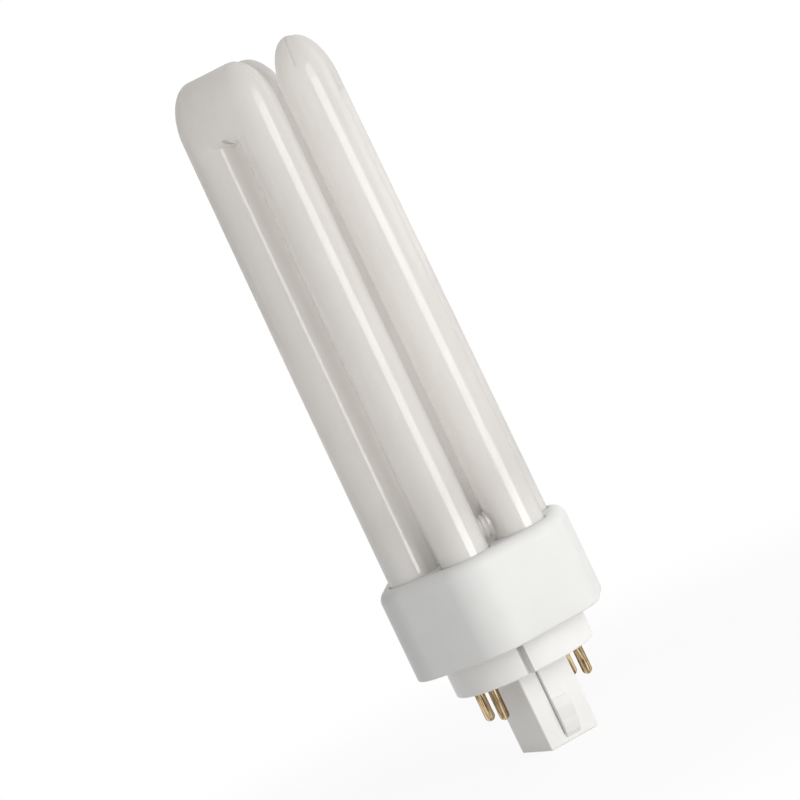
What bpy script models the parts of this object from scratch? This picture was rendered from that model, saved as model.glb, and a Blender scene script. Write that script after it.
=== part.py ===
"""Four pin compact fluorescent lamp: three bent glass tubes in a six-sided collar, over a plug-in base.

The lamp stands on the end of its plug with the tubes up. The origin is the middle of that end face,
+Z runs up the lamp's axis, and the two pairs of pins stand to the left and right, along X. Lengths
are in metres.
"""

import math

import bmesh
import bpy
from mathutils import Matrix, Vector

MM = 0.001

# Clearance between pieces that seat in or on one another
FIT = 0.3 * MM

# Plug: the rectangular post that goes into the lampholder
PLUG_LENGTH = 18.65 * MM
PLUG_WIDTH = 12.6 * MM
PLUG_DEPTH = 15.8 * MM
PLUG_DRAFT = 0.2 * MM
PLUG_WALL = 1.5 * MM
PLUG_END_WALL = 1.6 * MM
PLUG_CORNER = 0.5 * MM
PLUG_EDGE_STEPS = 2

# Catch rib on the plug's narrow faces, and the snap nose on it
RIB_WIDTH = 3.8 * MM
RIB_PROUD = 1.1 * MM
RIB_END = 2.0 * MM
NOSE_WIDTH = 3.2 * MM
NOSE_PROUD = 1.7 * MM
NOSE_FOOT = 4.4 * MM
NOSE_LAND = 6.7 * MM
NOSE_BROW = 7.9 * MM
NOSE_HEAD = 10.3 * MM
NOSE_STEP = 0.95 * MM
NOSE_END = 2.2 * MM

# Round boss between the plug and the collar, which surrounds the pins
BOSS_MARGIN = 1.2 * MM
BOSS_HEIGHT = 7.6 * MM
BOSS_WALL = 1.6 * MM
BOSS_FLOOR = 1.8 * MM
BOSS_EDGE = 0.4 * MM
BOSS_SIDES = 64
BOSS_HOLLOW_SIDES = 48

# Keyway in the boss's front
KEY_X = -6.85 * MM
KEY_WIDTH = 1.7 * MM
KEY_DEPTH = 2.6 * MM
KEY_WALL = 1.2 * MM

# Six-sided collar that holds the tubes, with a corner at each leg
COLLAR_MARGIN = 1.48 * MM
COLLAR_CORNER = 10.0 * MM
COLLAR_HEIGHT = 21.9 * MM
COLLAR_WALL = 2.0 * MM
COLLAR_TOP = 1.8 * MM
COLLAR_SHOULDER = 2.8 * MM
COLLAR_FOOT_EDGE = 0.4 * MM
CORNER_STEPS = 6
EDGE_STEPS = 3

# Floor of the base, let into the collar's skirt from below
FLOOR_THICKNESS = 1.8 * MM
FLOOR_INSET = 0.5 * MM
FLOOR_LEDGE = 0.8 * MM

# Contact pins
PIN_SPAN = 23.0 * MM
PIN_PITCH = 8.0 * MM
PIN_RADIUS = 1.175 * MM
PIN_REACH = 8.05 * MM
PIN_FLANGE_RADIUS = 1.9 * MM
PIN_FLANGE = 0.9 * MM
PIN_TAIL = 4.5 * MM
PIN_BORE = 0.75 * MM
PIN_BORE_DEPTH = 3.6 * MM
PIN_SIDES = 20
PIN_TIP_STEPS = 4

# Glass tube: six legs on a circle, joined at their tops in pairs
LEG_RADIUS = 5.82 * MM
LEG_GAP = 3.49 * MM
LEG_LEAN = 0.58 * MM
TUBE_RISE = 120.4 * MM
TUBE_CLEAR = 7.0 * MM
BEND_CROWN = 12.0 * MM
BEND_RIDGE = 5.9 * MM
BEND_STEPS = 9
BEND_LAST = 0.07 * MM
CROTCH_DROP = 16.65 * MM
SLOT_END = 2.0 * MM
SLOT_SHARE = 0.75
SLOT_STEPS = 3
VALLEY_END = 7.5 * MM
VALLEY_EASE = 1.4
VALLEY_STEPS = 2
SEAL_DROP = 3.4 * MM
SEAL_TAPER = 4.5 * MM
SEAL_WIDTH = 8.6 * MM
SEAL_THICKNESS = 2.8 * MM
SEAL_SHARES = (0.0, 0.3, 0.7, 1.0)
QUARTER_STEPS = 6
DOME_STEPS = 5
DOME_LAST = 86.0

# Glass necks that join one bent tube to the next, just above the collar: taller than they are deep,
# set back from the middle of the legs, with a seam bead between two grooves
NECK_TALL = 5.7 * MM
NECK_DEEP = 2.4 * MM
NECK_SET_BACK = 0.5 * MM
NECK_BEAD = 0.8 * MM
NECK_GROOVE = 0.7 * MM
NECK_GROOVE_WIDTH = 0.5 * MM
NECK_FLARE = 0.4 * MM
NECK_ROOT = 1.5 * MM
NECK_RISE = 4.0 * MM
NECK_SIDES = 20

# Cement under the collar's top
CEMENT_DEPTH = 5.0 * MM

# Lead wires
WIRE_RADIUS = 0.3 * MM
WIRE_SPREAD = 2.4 * MM
WIRE_IN_PIN = 2.4 * MM
WIRE_DROP = 1.0 * MM
WIRE_INWARD = 1.6 * MM
WIRE_OVER_FLOOR = 1.5 * MM
WIRE_LEAD_IN = 0.5 * MM
WIRE_TURN_SHARE = 0.3
WIRE_CROSS_SHARE = 0.5
WIRE_REACH_SHARE = 0.88

# Widths that follow from the sizes: the legs stand as far from the axis as from one another
LEG_CIRCLE = 2 * LEG_RADIUS + LEG_GAP
COLLAR_APOTHEM = LEG_CIRCLE * math.cos(math.radians(30)) + LEG_RADIUS + COLLAR_MARGIN + COLLAR_WALL
BOSS_RADIUS = math.hypot(PIN_SPAN / 2, PIN_PITCH / 2) + PIN_FLANGE_RADIUS + BOSS_MARGIN + BOSS_WALL

# Heights that follow from the sizes
BOSS_UNDERSIDE = PLUG_LENGTH
BOSS_FLOOR_TOP = BOSS_UNDERSIDE + BOSS_FLOOR
COLLAR_FOOT = BOSS_UNDERSIDE + BOSS_HEIGHT
FLOOR_FOOT = COLLAR_FOOT + FLOOR_INSET
FLOOR_TOP = FLOOR_FOOT + FLOOR_THICKNESS
COLLAR_HEAD = COLLAR_FOOT + COLLAR_HEIGHT
COLLAR_CEILING = COLLAR_HEAD - COLLAR_TOP
TUBE_TOP = COLLAR_HEAD + TUBE_RISE
TUBE_FOOT = FLOOR_TOP + TUBE_CLEAR
SEAL_FOOT = TUBE_FOOT - SEAL_DROP
CROTCH = TUBE_TOP - CROTCH_DROP
NECK_HEIGHT = COLLAR_HEAD + NECK_RISE
PIN_FOOT = BOSS_UNDERSIDE - PIN_REACH
FLANGE_FOOT = BOSS_FLOOR_TOP + FIT
PIN_HEAD = FLANGE_FOOT + PIN_FLANGE + PIN_TAIL
PAST = 2.0 * MM

# Directions of the three bends, and what each one's two legs end in
BENDS = (
    (-150.0, "seal", "dome"),
    (-30.0, "dome", "dome"),
    (90.0, "dome", "seal"),
)


def clear_scene():
    """Takes everything out of the open file."""
    for thing in list(bpy.data.objects):
        bpy.data.objects.remove(thing, do_unlink=True)
    for group in list(bpy.data.collections):
        bpy.data.collections.remove(group)


def new_collection(name):
    group = bpy.data.collections.new(name)
    bpy.context.scene.collection.children.link(group)
    return group


def principled(name, colour, roughness, metallic=0.0, coat=0.0):
    """A plain material with the piece's colour, gloss and metal."""
    material = bpy.data.materials.new(name)
    material.use_nodes = True
    shader = material.node_tree.nodes["Principled BSDF"]
    shader.inputs["Base Color"].default_value = (*colour, 1.0)
    shader.inputs["Roughness"].default_value = roughness
    shader.inputs["Metallic"].default_value = metallic
    shader.inputs["Coat Weight"].default_value = coat
    return material


def object_from(name, mesh, group, material=None):
    piece = bpy.data.objects.new(name, mesh)
    group.objects.link(piece)
    if material:
        mesh.materials.append(material)
    return piece


def mesh_from(name, bm):
    """Turns a bmesh into a mesh with its faces pointing out."""
    bmesh.ops.recalc_face_normals(bm, faces=bm.faces)
    mesh = bpy.data.meshes.new(name)
    bm.to_mesh(mesh)
    bm.free()
    return mesh


def smooth(piece, degrees=35.0):
    piece.data.shade_smooth()
    piece.data.set_sharp_from_angle(angle=math.radians(degrees))


def as_cutter(piece):
    piece.hide_render = True
    piece.display_type = "WIRE"
    return piece


def boolean(piece, other, operation):
    step = piece.modifiers.new(f"{operation.lower()} {other.name}", "BOOLEAN")
    step.operation = operation
    step.solver = "EXACT"
    step.object = other


def box(name, size, middle, group, material=None):
    bm = bmesh.new()
    bmesh.ops.create_cube(bm, size=1.0)
    bmesh.ops.scale(bm, vec=size, verts=bm.verts)
    bmesh.ops.translate(bm, vec=middle, verts=bm.verts)
    return object_from(name, mesh_from(name, bm), group, material)


def cylinders(name, radius, low, high, places, sides, group, material=None):
    """Upright cylinders of one size, one at each place, in one mesh."""
    bm = bmesh.new()
    for x, y in places:
        bmesh.ops.create_cone(
            bm,
            cap_ends=True,
            segments=sides,
            radius1=radius,
            radius2=radius,
            depth=high - low,
            matrix=Matrix.Translation((x, y, (low + high) / 2)),
        )
    return object_from(name, mesh_from(name, bm), group, material)


def six_sided(name, apothem, corner, low, high, group, material=None, head=0.0, foot=0.0):
    """A hexagonal prism with rounded corners, its head and foot edges broken by the widths given.

    The flats face front and back, with a corner at each leg of the glass tube.
    """
    bm = bmesh.new()
    bmesh.ops.create_circle(bm, cap_ends=True, segments=6, radius=apothem / math.cos(math.radians(30)))
    turn_to_corner(bm)
    bmesh.ops.bevel(
        bm,
        geom=list(bm.verts),
        affect="VERTICES",
        offset=corner * math.tan(math.radians(30)),
        offset_type="OFFSET",
        segments=CORNER_STEPS,
        profile=0.5,
    )
    grown = bmesh.ops.extrude_face_region(bm, geom=list(bm.faces))
    bmesh.ops.translate(
        bm, vec=(0, 0, high - low), verts=[v for v in grown["geom"] if isinstance(v, bmesh.types.BMVert)]
    )
    bmesh.ops.translate(bm, vec=(0, 0, low), verts=bm.verts)
    widest = max(head, foot)
    if widest > 0:
        weight = bm.edges.layers.float.new("bevel_weight_edge")
        for edge in bm.edges:
            heights = [v.co.z for v in edge.verts]
            if min(heights) > high - MM * 0.01:
                edge[weight] = head / widest
            elif max(heights) < low + MM * 0.01:
                edge[weight] = foot / widest
    piece = object_from(name, mesh_from(name, bm), group, material)
    if widest > 0:
        step = piece.modifiers.new("broken edges", "BEVEL")
        step.limit_method = "WEIGHT"
        step.width = widest
        step.segments = EDGE_STEPS
        step.profile = 0.5
    return piece


def turn_to_corner(bm):
    """Turns a hexagon about Z until one of its corners lies on +X."""
    first = bm.verts[:][0].co
    angle = math.atan2(first.y, first.x)
    bmesh.ops.rotate(bm, verts=bm.verts, matrix=Matrix.Rotation(-angle, 3, "Z"))


def turned(name, profile, sides, group, material=None):
    """A turned piece: a profile of (radius, height) points, from the top down its outer side."""
    mesh = bpy.data.meshes.new(name)
    points = [(radius, 0.0, height) for radius, height in profile]
    mesh.from_pydata(points, [(i, i + 1) for i in range(len(points) - 1)], [])
    piece = object_from(name, mesh, group, material)
    step = piece.modifiers.new("turned", "SCREW")
    step.steps = sides
    step.render_steps = sides
    step.use_merge_vertices = True
    step.merge_threshold = 0.00001
    return piece


def leg_circle(height):
    """Distance of a leg's centre from the lamp's axis: the legs lean in a little towards their tops."""
    return LEG_CIRCLE - LEG_LEAN * (height - COLLAR_HEAD) / TUBE_RISE


def leg_place(direction, height):
    angle = math.radians(direction)
    radius = leg_circle(height)
    return (radius * math.cos(angle), radius * math.sin(angle))


def crown(height):
    """How far the bend's section is opened out, from 0 on its ridge to 1 where the legs are straight."""
    fall = min((TUBE_TOP - height) / BEND_CROWN, 1.0)
    return math.sqrt(max(1.0 - (1.0 - fall) ** 2, 0.0))


def leg_section(height, wide=1.0, thick=1.0):
    """One leg's ring at a height, in the bend's own frame: across, outwards, up.

    The first point faces the middle of the bend, and the points then go round by the outer side.
    """
    centre = leg_circle(height) / 2
    ring = []
    for step in range(4 * QUARTER_STEPS):
        angle = math.radians(90.0 / QUARTER_STEPS * step)
        across = centre - LEG_RADIUS * wide * math.cos(angle)
        outwards = LEG_RADIUS * thick * math.sin(angle)
        ring.append((across, outwards, height))
    return ring


def web_share(climbed):
    """Half the thickness of the glass between the legs, as a share of its full half thickness: the
    slot's round end first, then a shallow valley that runs out into the flat face."""
    if climbed <= SLOT_END:
        return SLOT_SHARE * math.sqrt(climbed / SLOT_END)
    left = max(VALLEY_END - climbed, 0.0) / (VALLEY_END - SLOT_END)
    return 1.0 - (1.0 - SLOT_SHARE) * left**VALLEY_EASE


def bend_section(height):
    """Half the ring of the bend at a height: from the middle of its outer face round one side to the
    middle of its inner face."""
    opened = crown(height)
    half_thickness = LEG_RADIUS * opened
    centre = BEND_RIDGE + (leg_circle(height) / 2 - BEND_RIDGE) * opened
    climbed = height - CROTCH
    web = half_thickness * web_share(climbed)
    ease = min(climbed / SLOT_END, 1.0)
    ease = ease * ease * (3.0 - 2.0 * ease)
    ring = []
    for step in range(4 * QUARTER_STEPS + 1):
        angle = math.radians(90.0 / QUARTER_STEPS * step)
        across = centre - half_thickness * math.cos(angle)
        outwards = half_thickness * math.sin(angle)
        if step <= QUARTER_STEPS or step >= 3 * QUARTER_STEPS:
            across = centre - centre * math.cos(angle)
            side = 1.0 if step <= QUARTER_STEPS else -1.0
            round_leg = math.sqrt(max(half_thickness**2 - (centre - across) ** 2, 0.0))
            valley = half_thickness - (half_thickness - web) * (1.0 + math.cos(math.pi * across / centre)) / 2
            outwards = side * ((1.0 - ease) * max(round_leg, web) + ease * valley)
        ring.append((across, outwards, height))
    return ring


def bend_heights():
    """Heights of the bend's rings, from just above the crotch to the ridge."""
    slot = [CROTCH + SLOT_END * ((step + 1) / SLOT_STEPS) ** 2 for step in range(SLOT_STEPS)]
    crown_foot = TUBE_TOP - BEND_CROWN
    rise = crown_foot - slot[-1]
    valley = [slot[-1] + rise * (step + 1) / VALLEY_STEPS for step in range(VALLEY_STEPS - 1)]
    shares = [math.sin(math.radians(90.0 * step / BEND_STEPS)) for step in range(BEND_STEPS)]
    crowned = [crown_foot + BEND_CROWN * share for share in shares]
    return slot + valley + crowned + [TUBE_TOP - BEND_LAST]


def leg_end(style):
    """Rings of a leg's closed end, from the top down: a round dome, or a flat pinched seal."""
    if style == "dome":
        angles = [math.radians(90.0 * step / DOME_STEPS) for step in range(DOME_STEPS)]
        angles.append(math.radians(DOME_LAST))
        return [
            leg_section(TUBE_FOOT + LEG_RADIUS * (1.0 - math.sin(a)), math.cos(a), math.cos(a)) for a in angles
        ]
    wide = SEAL_WIDTH / (2 * LEG_RADIUS)
    thick = SEAL_THICKNESS / (2 * LEG_RADIUS)
    rings = []
    for share in SEAL_SHARES:
        ease = share * share * (3.0 - 2.0 * share)
        height = TUBE_FOOT + SEAL_TAPER * (1.0 - share)
        rings.append(leg_section(height, 1.0 + (wide - 1.0) * ease, 1.0 + (thick - 1.0) * ease))
    rings.append(leg_section(SEAL_FOOT, wide, thick))
    return rings


def bent_tube(name, direction, ends, group, material=None):
    """One glass tube bent into a U, standing on the side of the lamp that its direction gives.

    Each half is lofted from its closed end up the leg and over the bend to the middle plane, where
    the two halves join.
    """
    angle = math.radians(direction)
    out = Vector((math.cos(angle), math.sin(angle), 0.0))
    along = Vector((-math.sin(angle), math.cos(angle), 0.0))
    bm = bmesh.new()
    for side, style in zip((-1.0, 1.0), ends):

        def ring_of(points):
            verts = []
            for across, outwards, height in points:
                distance = leg_circle(height) * math.cos(math.radians(30)) + outwards
                place = out * distance + along * (side * across)
                verts.append(bm.verts.new((place.x, place.y, height)))
            return verts

        rings = [ring_of(points) for points in leg_end(style)[::-1]]
        rings.append(ring_of(leg_section(CROTCH)))
        bm.faces.new(rings[0])
        for lower, upper in zip(rings, rings[1:]):
            bridge(bm, lower + lower[:1], upper + upper[:1])
        arcs = [ring_of(bend_section(height)) for height in bend_heights()]
        bridge(bm, rings[-1] + rings[-1][:1], arcs[0])
        for lower, upper in zip(arcs, arcs[1:]):
            bridge(bm, lower, upper)
        bm.faces.new((rings[-1][0], arcs[0][0], arcs[0][-1]))
        bm.faces.new(arcs[-1])
    bmesh.ops.remove_doubles(bm, verts=bm.verts, dist=0.000001)
    return object_from(name, mesh_from(name, bm), group, material)


def bridge(bm, lower, upper):
    """Joins two rows of as many points by four-sided faces."""
    for i in range(len(lower) - 1):
        bm.faces.new((lower[i], lower[i + 1], upper[i + 1], upper[i]))


def neck_profile(half_gap):
    """Half the neck's side view, from its seam bead to its end inside a leg: (radius, distance) points."""
    bead = NECK_BEAD / 2
    groove = bead + NECK_GROOVE_WIDTH / 2
    full = NECK_TALL / 2
    return [
        (full, bead / 2),
        (full - NECK_GROOVE / 4, bead),
        (full - NECK_GROOVE, groove),
        (full - NECK_GROOVE / 4, groove + NECK_GROOVE_WIDTH / 2),
        (full, (groove + half_gap) / 2),
        (full + NECK_FLARE, half_gap),
        (full + NECK_FLARE, half_gap + NECK_ROOT),
        (0.0, half_gap + NECK_ROOT),
    ]


def glass_neck(name, first, second, group):
    """The short fused neck between two legs of neighbouring bends: a spool of oval section that flares
    at both ends, where it runs into the legs."""
    a = Vector((*leg_place(first, NECK_HEIGHT), NECK_HEIGHT))
    b = Vector((*leg_place(second, NECK_HEIGHT), NECK_HEIGHT))
    half = neck_profile((b - a).length / 2 - LEG_RADIUS)
    profile = half[::-1] + [(radius, -distance) for radius, distance in half]
    neck = turned(name, profile, NECK_SIDES, group)
    along = (b - a).normalized()
    up = Vector((0.0, 0.0, 1.0))
    across = along.cross(up)
    middle = (a + b) / 2
    outwards = Vector((middle.x, middle.y, 0.0)).normalized()
    frame = Matrix((up, across, along)).transposed().to_4x4()
    neck.matrix_world = Matrix.Translation(middle - outwards * NECK_SET_BACK) @ frame
    neck.scale.y = NECK_DEEP / NECK_TALL
    return neck


def build_discharge_tube(parts, cutters):
    """The sealed glass vessel: three bent tubes and the two necks that make them one path."""
    material = principled("milky coated glass", (0.80, 0.79, 0.77), 0.12, coat=1.0)
    names = ("discharge_tube", "second_bend", "third_bend")
    groups = (parts, cutters, cutters)
    bends = []
    for name, group, (direction, first, second) in zip(names, groups, BENDS):
        finish = material if group is parts else None
        bends.append(bent_tube(name, direction, (first, second), group, finish))
    tube = bends[0]
    joined = bends[1:]
    joined.append(glass_neck("first_neck", -120.0, -60.0, cutters))
    joined.append(glass_neck("second_neck", 0.0, 60.0, cutters))
    for other in joined:
        boolean(tube, as_cutter(other), "UNION")
    smooth(tube)
    return tube


def leg_holes(cutters):
    """Six round holes for the legs, through the collar's top and the cement."""
    places = [leg_place(60.0 * leg, COLLAR_HEAD) for leg in range(6)]
    low = COLLAR_CEILING - FIT - CEMENT_DEPTH - PAST
    sides = 4 * QUARTER_STEPS
    return as_cutter(
        cylinders("leg_holes", LEG_RADIUS + FIT, low, COLLAR_HEAD + PAST, places, sides, cutters)
    )


def build_collar(parts, cutters, holes):
    """The upper housing: a six-sided cup, mouth down, whose top is pierced for the legs."""
    collar = six_sided(
        "collar",
        COLLAR_APOTHEM,
        COLLAR_CORNER,
        COLLAR_FOOT,
        COLLAR_HEAD,
        parts,
        principled("white satin plastic", (0.82, 0.82, 0.80), 0.42),
        head=COLLAR_SHOULDER,
        foot=COLLAR_FOOT_EDGE,
    )
    hollow = six_sided(
        "collar_hollow",
        COLLAR_APOTHEM - COLLAR_WALL,
        COLLAR_CORNER - COLLAR_WALL,
        COLLAR_FOOT - PAST,
        COLLAR_CEILING,
        cutters,
    )
    rebate = six_sided(
        "floor_rebate",
        COLLAR_APOTHEM - COLLAR_WALL + FLOOR_LEDGE,
        COLLAR_CORNER - COLLAR_WALL + FLOOR_LEDGE,
        COLLAR_FOOT - PAST,
        FLOOR_TOP + FIT,
        cutters,
    )
    for cutter in (hollow, rebate, holes):
        boolean(collar, as_cutter(cutter), "DIFFERENCE")
    smooth(collar)
    return collar


def build_tube_cement(parts, holes):
    """The cast cement that fixes the glass under the collar's top."""
    head = COLLAR_CEILING - FIT
    cement = six_sided(
        "tube_cement",
        COLLAR_APOTHEM - COLLAR_WALL - FIT,
        COLLAR_CORNER - COLLAR_WALL - FIT,
        head - CEMENT_DEPTH,
        head,
        parts,
        principled("cream cement", (0.70, 0.67, 0.58), 0.85),
    )
    boolean(cement, holes, "DIFFERENCE")
    smooth(cement)
    return cement


def tapered_post(name, width, depth, low, high, draft, corner, group, material=None):
    """An upright post of four sides, narrower at its foot by the draft, with its corners rounded."""
    bm = bmesh.new()
    bmesh.ops.create_cube(bm, size=1.0)
    for vert in bm.verts:
        at_foot = vert.co.z < 0
        slim = draft if at_foot else 0.0
        vert.co.x *= width - 2 * slim
        vert.co.y *= depth - 2 * slim
        vert.co.z = low if at_foot else high
    if corner > 0:
        upright = [e for e in bm.edges if abs(e.verts[0].co.z - e.verts[1].co.z) > (high - low) / 2]
        foot = [e for e in bm.edges if max(v.co.z for v in e.verts) < (low + high) / 2]
        bmesh.ops.bevel(
            bm,
            geom=upright + foot,
            affect="EDGES",
            offset_type="OFFSET",
            offset=corner,
            segments=PLUG_EDGE_STEPS,
            profile=0.5,
        )
    return object_from(name, mesh_from(name, bm), group, material)


def catch_rib(name, side, cutters):
    """The rib down one narrow face of the plug, with the snap nose near its foot.

    It is the rib's side view drawn as a flat outline, extruded to the rib's width.
    """
    face = PLUG_DEPTH / 2 - PLUG_DRAFT
    root = face - PLUG_WALL / 2
    crest = PLUG_DEPTH / 2 + RIB_PROUD
    outline = (
        (root, BOSS_UNDERSIDE + BOSS_FLOOR / 2),
        (crest, BOSS_UNDERSIDE + BOSS_FLOOR / 2),
        (crest, RIB_END),
        (face, RIB_END - RIB_PROUD),
        (root, RIB_END - RIB_PROUD),
    )
    return extruded_outline(name, outline, RIB_WIDTH, side, cutters)


def catch_nose(name, side, cutters):
    """The snap nose on a catch rib: a ramp up, a land, a ramp down to a low step."""
    crest = PLUG_DEPTH / 2 + RIB_PROUD
    root = crest - RIB_PROUD / 2
    tip = crest + NOSE_PROUD
    step = crest + NOSE_STEP
    outline = (
        (root, NOSE_HEAD),
        (crest, NOSE_HEAD),
        (tip, NOSE_BROW),
        (tip, NOSE_LAND),
        (step, NOSE_FOOT),
        (crest, NOSE_END),
        (root, NOSE_END),
    )
    return extruded_outline(name, outline, NOSE_WIDTH, side, cutters)


def extruded_outline(name, outline, width, side, cutters):
    """A side view of (depth, height) points, as thick as the width and centred on X = 0."""
    bm = bmesh.new()
    face = bm.faces.new([bm.verts.new((-width / 2, side * depth, height)) for depth, height in outline])
    grown = bmesh.ops.extrude_face_region(bm, geom=[face])
    bmesh.ops.translate(
        bm, vec=(width, 0, 0), verts=[v for v in grown["geom"] if isinstance(v, bmesh.types.BMVert)]
    )
    return as_cutter(object_from(name, mesh_from(name, bm), cutters))


def pin_places():
    """The four pins: each side's pair stands one behind the other."""
    return [(x * PIN_SPAN / 2, y * PIN_PITCH / 2) for x in (-1, 1) for y in (-1, 1)]


def build_base_cap(parts, cutters):
    """The lower housing, one moulding: floor, hollow boss with its keyway, hollow plug and catch ribs."""
    cap = six_sided(
        "base_cap",
        COLLAR_APOTHEM - COLLAR_WALL + FLOOR_LEDGE - FIT,
        COLLAR_CORNER - COLLAR_WALL + FLOOR_LEDGE - FIT,
        FLOOR_FOOT,
        FLOOR_TOP,
        parts,
        principled("white moulded plastic", (0.86, 0.86, 0.85), 0.38),
    )
    boss = turned(
        "boss",
        (
            (0.0, FLOOR_FOOT + FLOOR_THICKNESS / 2),
            (BOSS_RADIUS, FLOOR_FOOT + FLOOR_THICKNESS / 2),
            (BOSS_RADIUS, BOSS_UNDERSIDE + BOSS_EDGE),
            (BOSS_RADIUS - BOSS_EDGE, BOSS_UNDERSIDE),
            (0.0, BOSS_UNDERSIDE),
        ),
        BOSS_SIDES,
        cutters,
    )
    plug = tapered_post(
        "plug", PLUG_WIDTH, PLUG_DEPTH, 0.0, BOSS_UNDERSIDE + BOSS_FLOOR / 2, PLUG_DRAFT, PLUG_CORNER, cutters
    )
    boss_hollow = cylinders(
        "boss_hollow",
        BOSS_RADIUS - BOSS_WALL,
        BOSS_FLOOR_TOP,
        FLOOR_TOP + PAST,
        [(0.0, 0.0)],
        BOSS_HOLLOW_SIDES,
        cutters,
    )
    key_front = -math.sqrt(BOSS_RADIUS**2 - KEY_X**2)
    key_reach = KEY_DEPTH + KEY_WALL
    key_post = box(
        "key_post",
        (KEY_WIDTH + 2 * KEY_WALL, key_reach + PAST, 4 * BOSS_HEIGHT),
        (KEY_X, key_front + (key_reach - PAST) / 2, BOSS_UNDERSIDE + BOSS_HEIGHT),
        cutters,
    )
    boolean(boss_hollow, as_cutter(key_post), "DIFFERENCE")
    keyway = box(
        "keyway",
        (KEY_WIDTH, KEY_DEPTH + PAST, BOSS_HEIGHT + PAST),
        (KEY_X, key_front + (KEY_DEPTH - PAST) / 2, COLLAR_FOOT - (BOSS_HEIGHT + PAST) / 2),
        cutters,
    )
    plug_hollow = tapered_post(
        "plug_hollow",
        PLUG_WIDTH - 2 * PLUG_WALL,
        PLUG_DEPTH - 2 * PLUG_WALL,
        PLUG_END_WALL,
        BOSS_FLOOR_TOP + PAST,
        PLUG_DRAFT,
        0.0,
        cutters,
    )
    pin_holes = cylinders(
        "pin_holes",
        PIN_RADIUS + FIT,
        BOSS_UNDERSIDE - PAST,
        BOSS_FLOOR_TOP + PAST,
        pin_places(),
        PIN_SIDES,
        cutters,
    )
    added = [boss, plug]
    for side, place in ((-1.0, "front"), (1.0, "rear")):
        added.append(catch_rib(f"{place}_catch_rib", side, cutters))
        added.append(catch_nose(f"{place}_catch_nose", side, cutters))
    for other in added:
        boolean(cap, as_cutter(other), "UNION")
    for other in (boss_hollow, plug_hollow, pin_holes, keyway):
        boolean(cap, as_cutter(other), "DIFFERENCE")
    smooth(cap)
    return cap


def build_contact_pins(parts):
    """Four turned pins: a round tip below the boss, a flange on its floor, a bored tail for the wire."""
    material = principled("polished brass", (0.78, 0.56, 0.24), 0.22, metallic=1.0)
    angles = [math.radians(90.0 * step / PIN_TIP_STEPS) for step in range(PIN_TIP_STEPS)]
    tip = [(PIN_RADIUS * math.cos(a), PIN_FOOT + PIN_RADIUS * (1.0 - math.sin(a))) for a in angles]
    bore_foot = PIN_HEAD - PIN_BORE_DEPTH
    flange_top = FLANGE_FOOT + PIN_FLANGE
    profile = [
        (0.0, bore_foot),
        (PIN_BORE, bore_foot),
        (PIN_BORE, PIN_HEAD),
        (PIN_RADIUS, PIN_HEAD),
        (PIN_RADIUS, flange_top),
        (PIN_FLANGE_RADIUS, flange_top),
        (PIN_FLANGE_RADIUS, FLANGE_FOOT),
        (PIN_RADIUS, FLANGE_FOOT),
        *tip,
        (0.0, PIN_FOOT),
    ]
    pins = []
    for number, (x, y) in enumerate(pin_places(), start=1):
        pin = turned(f"contact_pin_{number}", profile, PIN_SIDES, parts)
        pin.data.materials.append(material)
        pin.location = (x, y, 0.0)
        smooth(pin)
        pins.append(pin)
    return pins


def smooth_route(points, per_span=4):
    """Points along a smooth curve that passes through the ones given."""
    ends = [points[0] * 2 - points[1], *points, points[-1] * 2 - points[-2]]
    route = []
    for i in range(1, len(ends) - 2):
        before, start, finish, after = ends[i - 1 : i + 3]
        for step in range(per_span):
            t = step / per_span
            route.append(
                0.5
                * (
                    2 * start
                    + (finish - before) * t
                    + (2 * before - 5 * start + 4 * finish - after) * t**2
                    + (3 * start - before - 3 * finish + after) * t**3
                )
            )
    route.append(points[-1].copy())
    return route


def wire_routes():
    """Each wire's main points, from its place under a pinched seal down into its pin's bore."""
    pins = pin_places()
    wire_top = SEAL_FOOT - FIT
    cross = FLOOR_TOP + WIRE_OVER_FLOOR
    routes = []
    for number, (leg, bend) in enumerate(((180.0, -150.0), (180.0, -150.0), (120.0, 90.0), (120.0, 90.0))):
        side = 1.0 if number % 2 == 0 else -1.0
        turn = math.radians(bend)
        spread = Vector((-math.sin(turn), math.cos(turn))) * (side * WIRE_SPREAD / 2)
        start = Vector(leg_place(leg, SEAL_FOOT)) + spread
        inward = Vector(leg_place(leg, SEAL_FOOT)).normalized() * -WIRE_INWARD
        end = Vector(pins[number])
        points = [
            Vector((*start, wire_top)),
            Vector((*(start + inward * WIRE_TURN_SHARE), wire_top - WIRE_DROP)),
            Vector((*(start + inward), cross + 2 * WIRE_RADIUS)),
        ]
        if bend == 90.0:
            points.append(Vector((*start.lerp(end, WIRE_CROSS_SHARE), cross)))
        points += [
            Vector((*start.lerp(end, WIRE_REACH_SHARE), cross - WIRE_LEAD_IN)),
            Vector((*end, PIN_HEAD + WIRE_LEAD_IN)),
            Vector((*end, PIN_HEAD - WIRE_IN_PIN)),
        ]
        routes.append(points)
    return routes


def build_lead_wires(parts):
    """Four copper wires, two from each pinched seal, each into the bored tail of its pin."""
    material = principled("tinned copper", (0.72, 0.52, 0.40), 0.3, metallic=1.0)
    wires = []
    for number, points in enumerate(wire_routes(), start=1):
        name = f"lead_wire_{number}"
        curve = bpy.data.curves.new(name, "CURVE")
        curve.dimensions = "3D"
        curve.bevel_depth = WIRE_RADIUS
        curve.bevel_resolution = 2
        curve.use_fill_caps = True
        route = smooth_route(points)
        spline = curve.splines.new("POLY")
        spline.points.add(len(route) - 1)
        for point, place in zip(spline.points, route):
            point.co = (*place, 1.0)
        wire = bpy.data.objects.new(name, curve)
        parts.objects.link(wire)
        curve.materials.append(material)
        wires.append(wire)
    return wires


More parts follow.
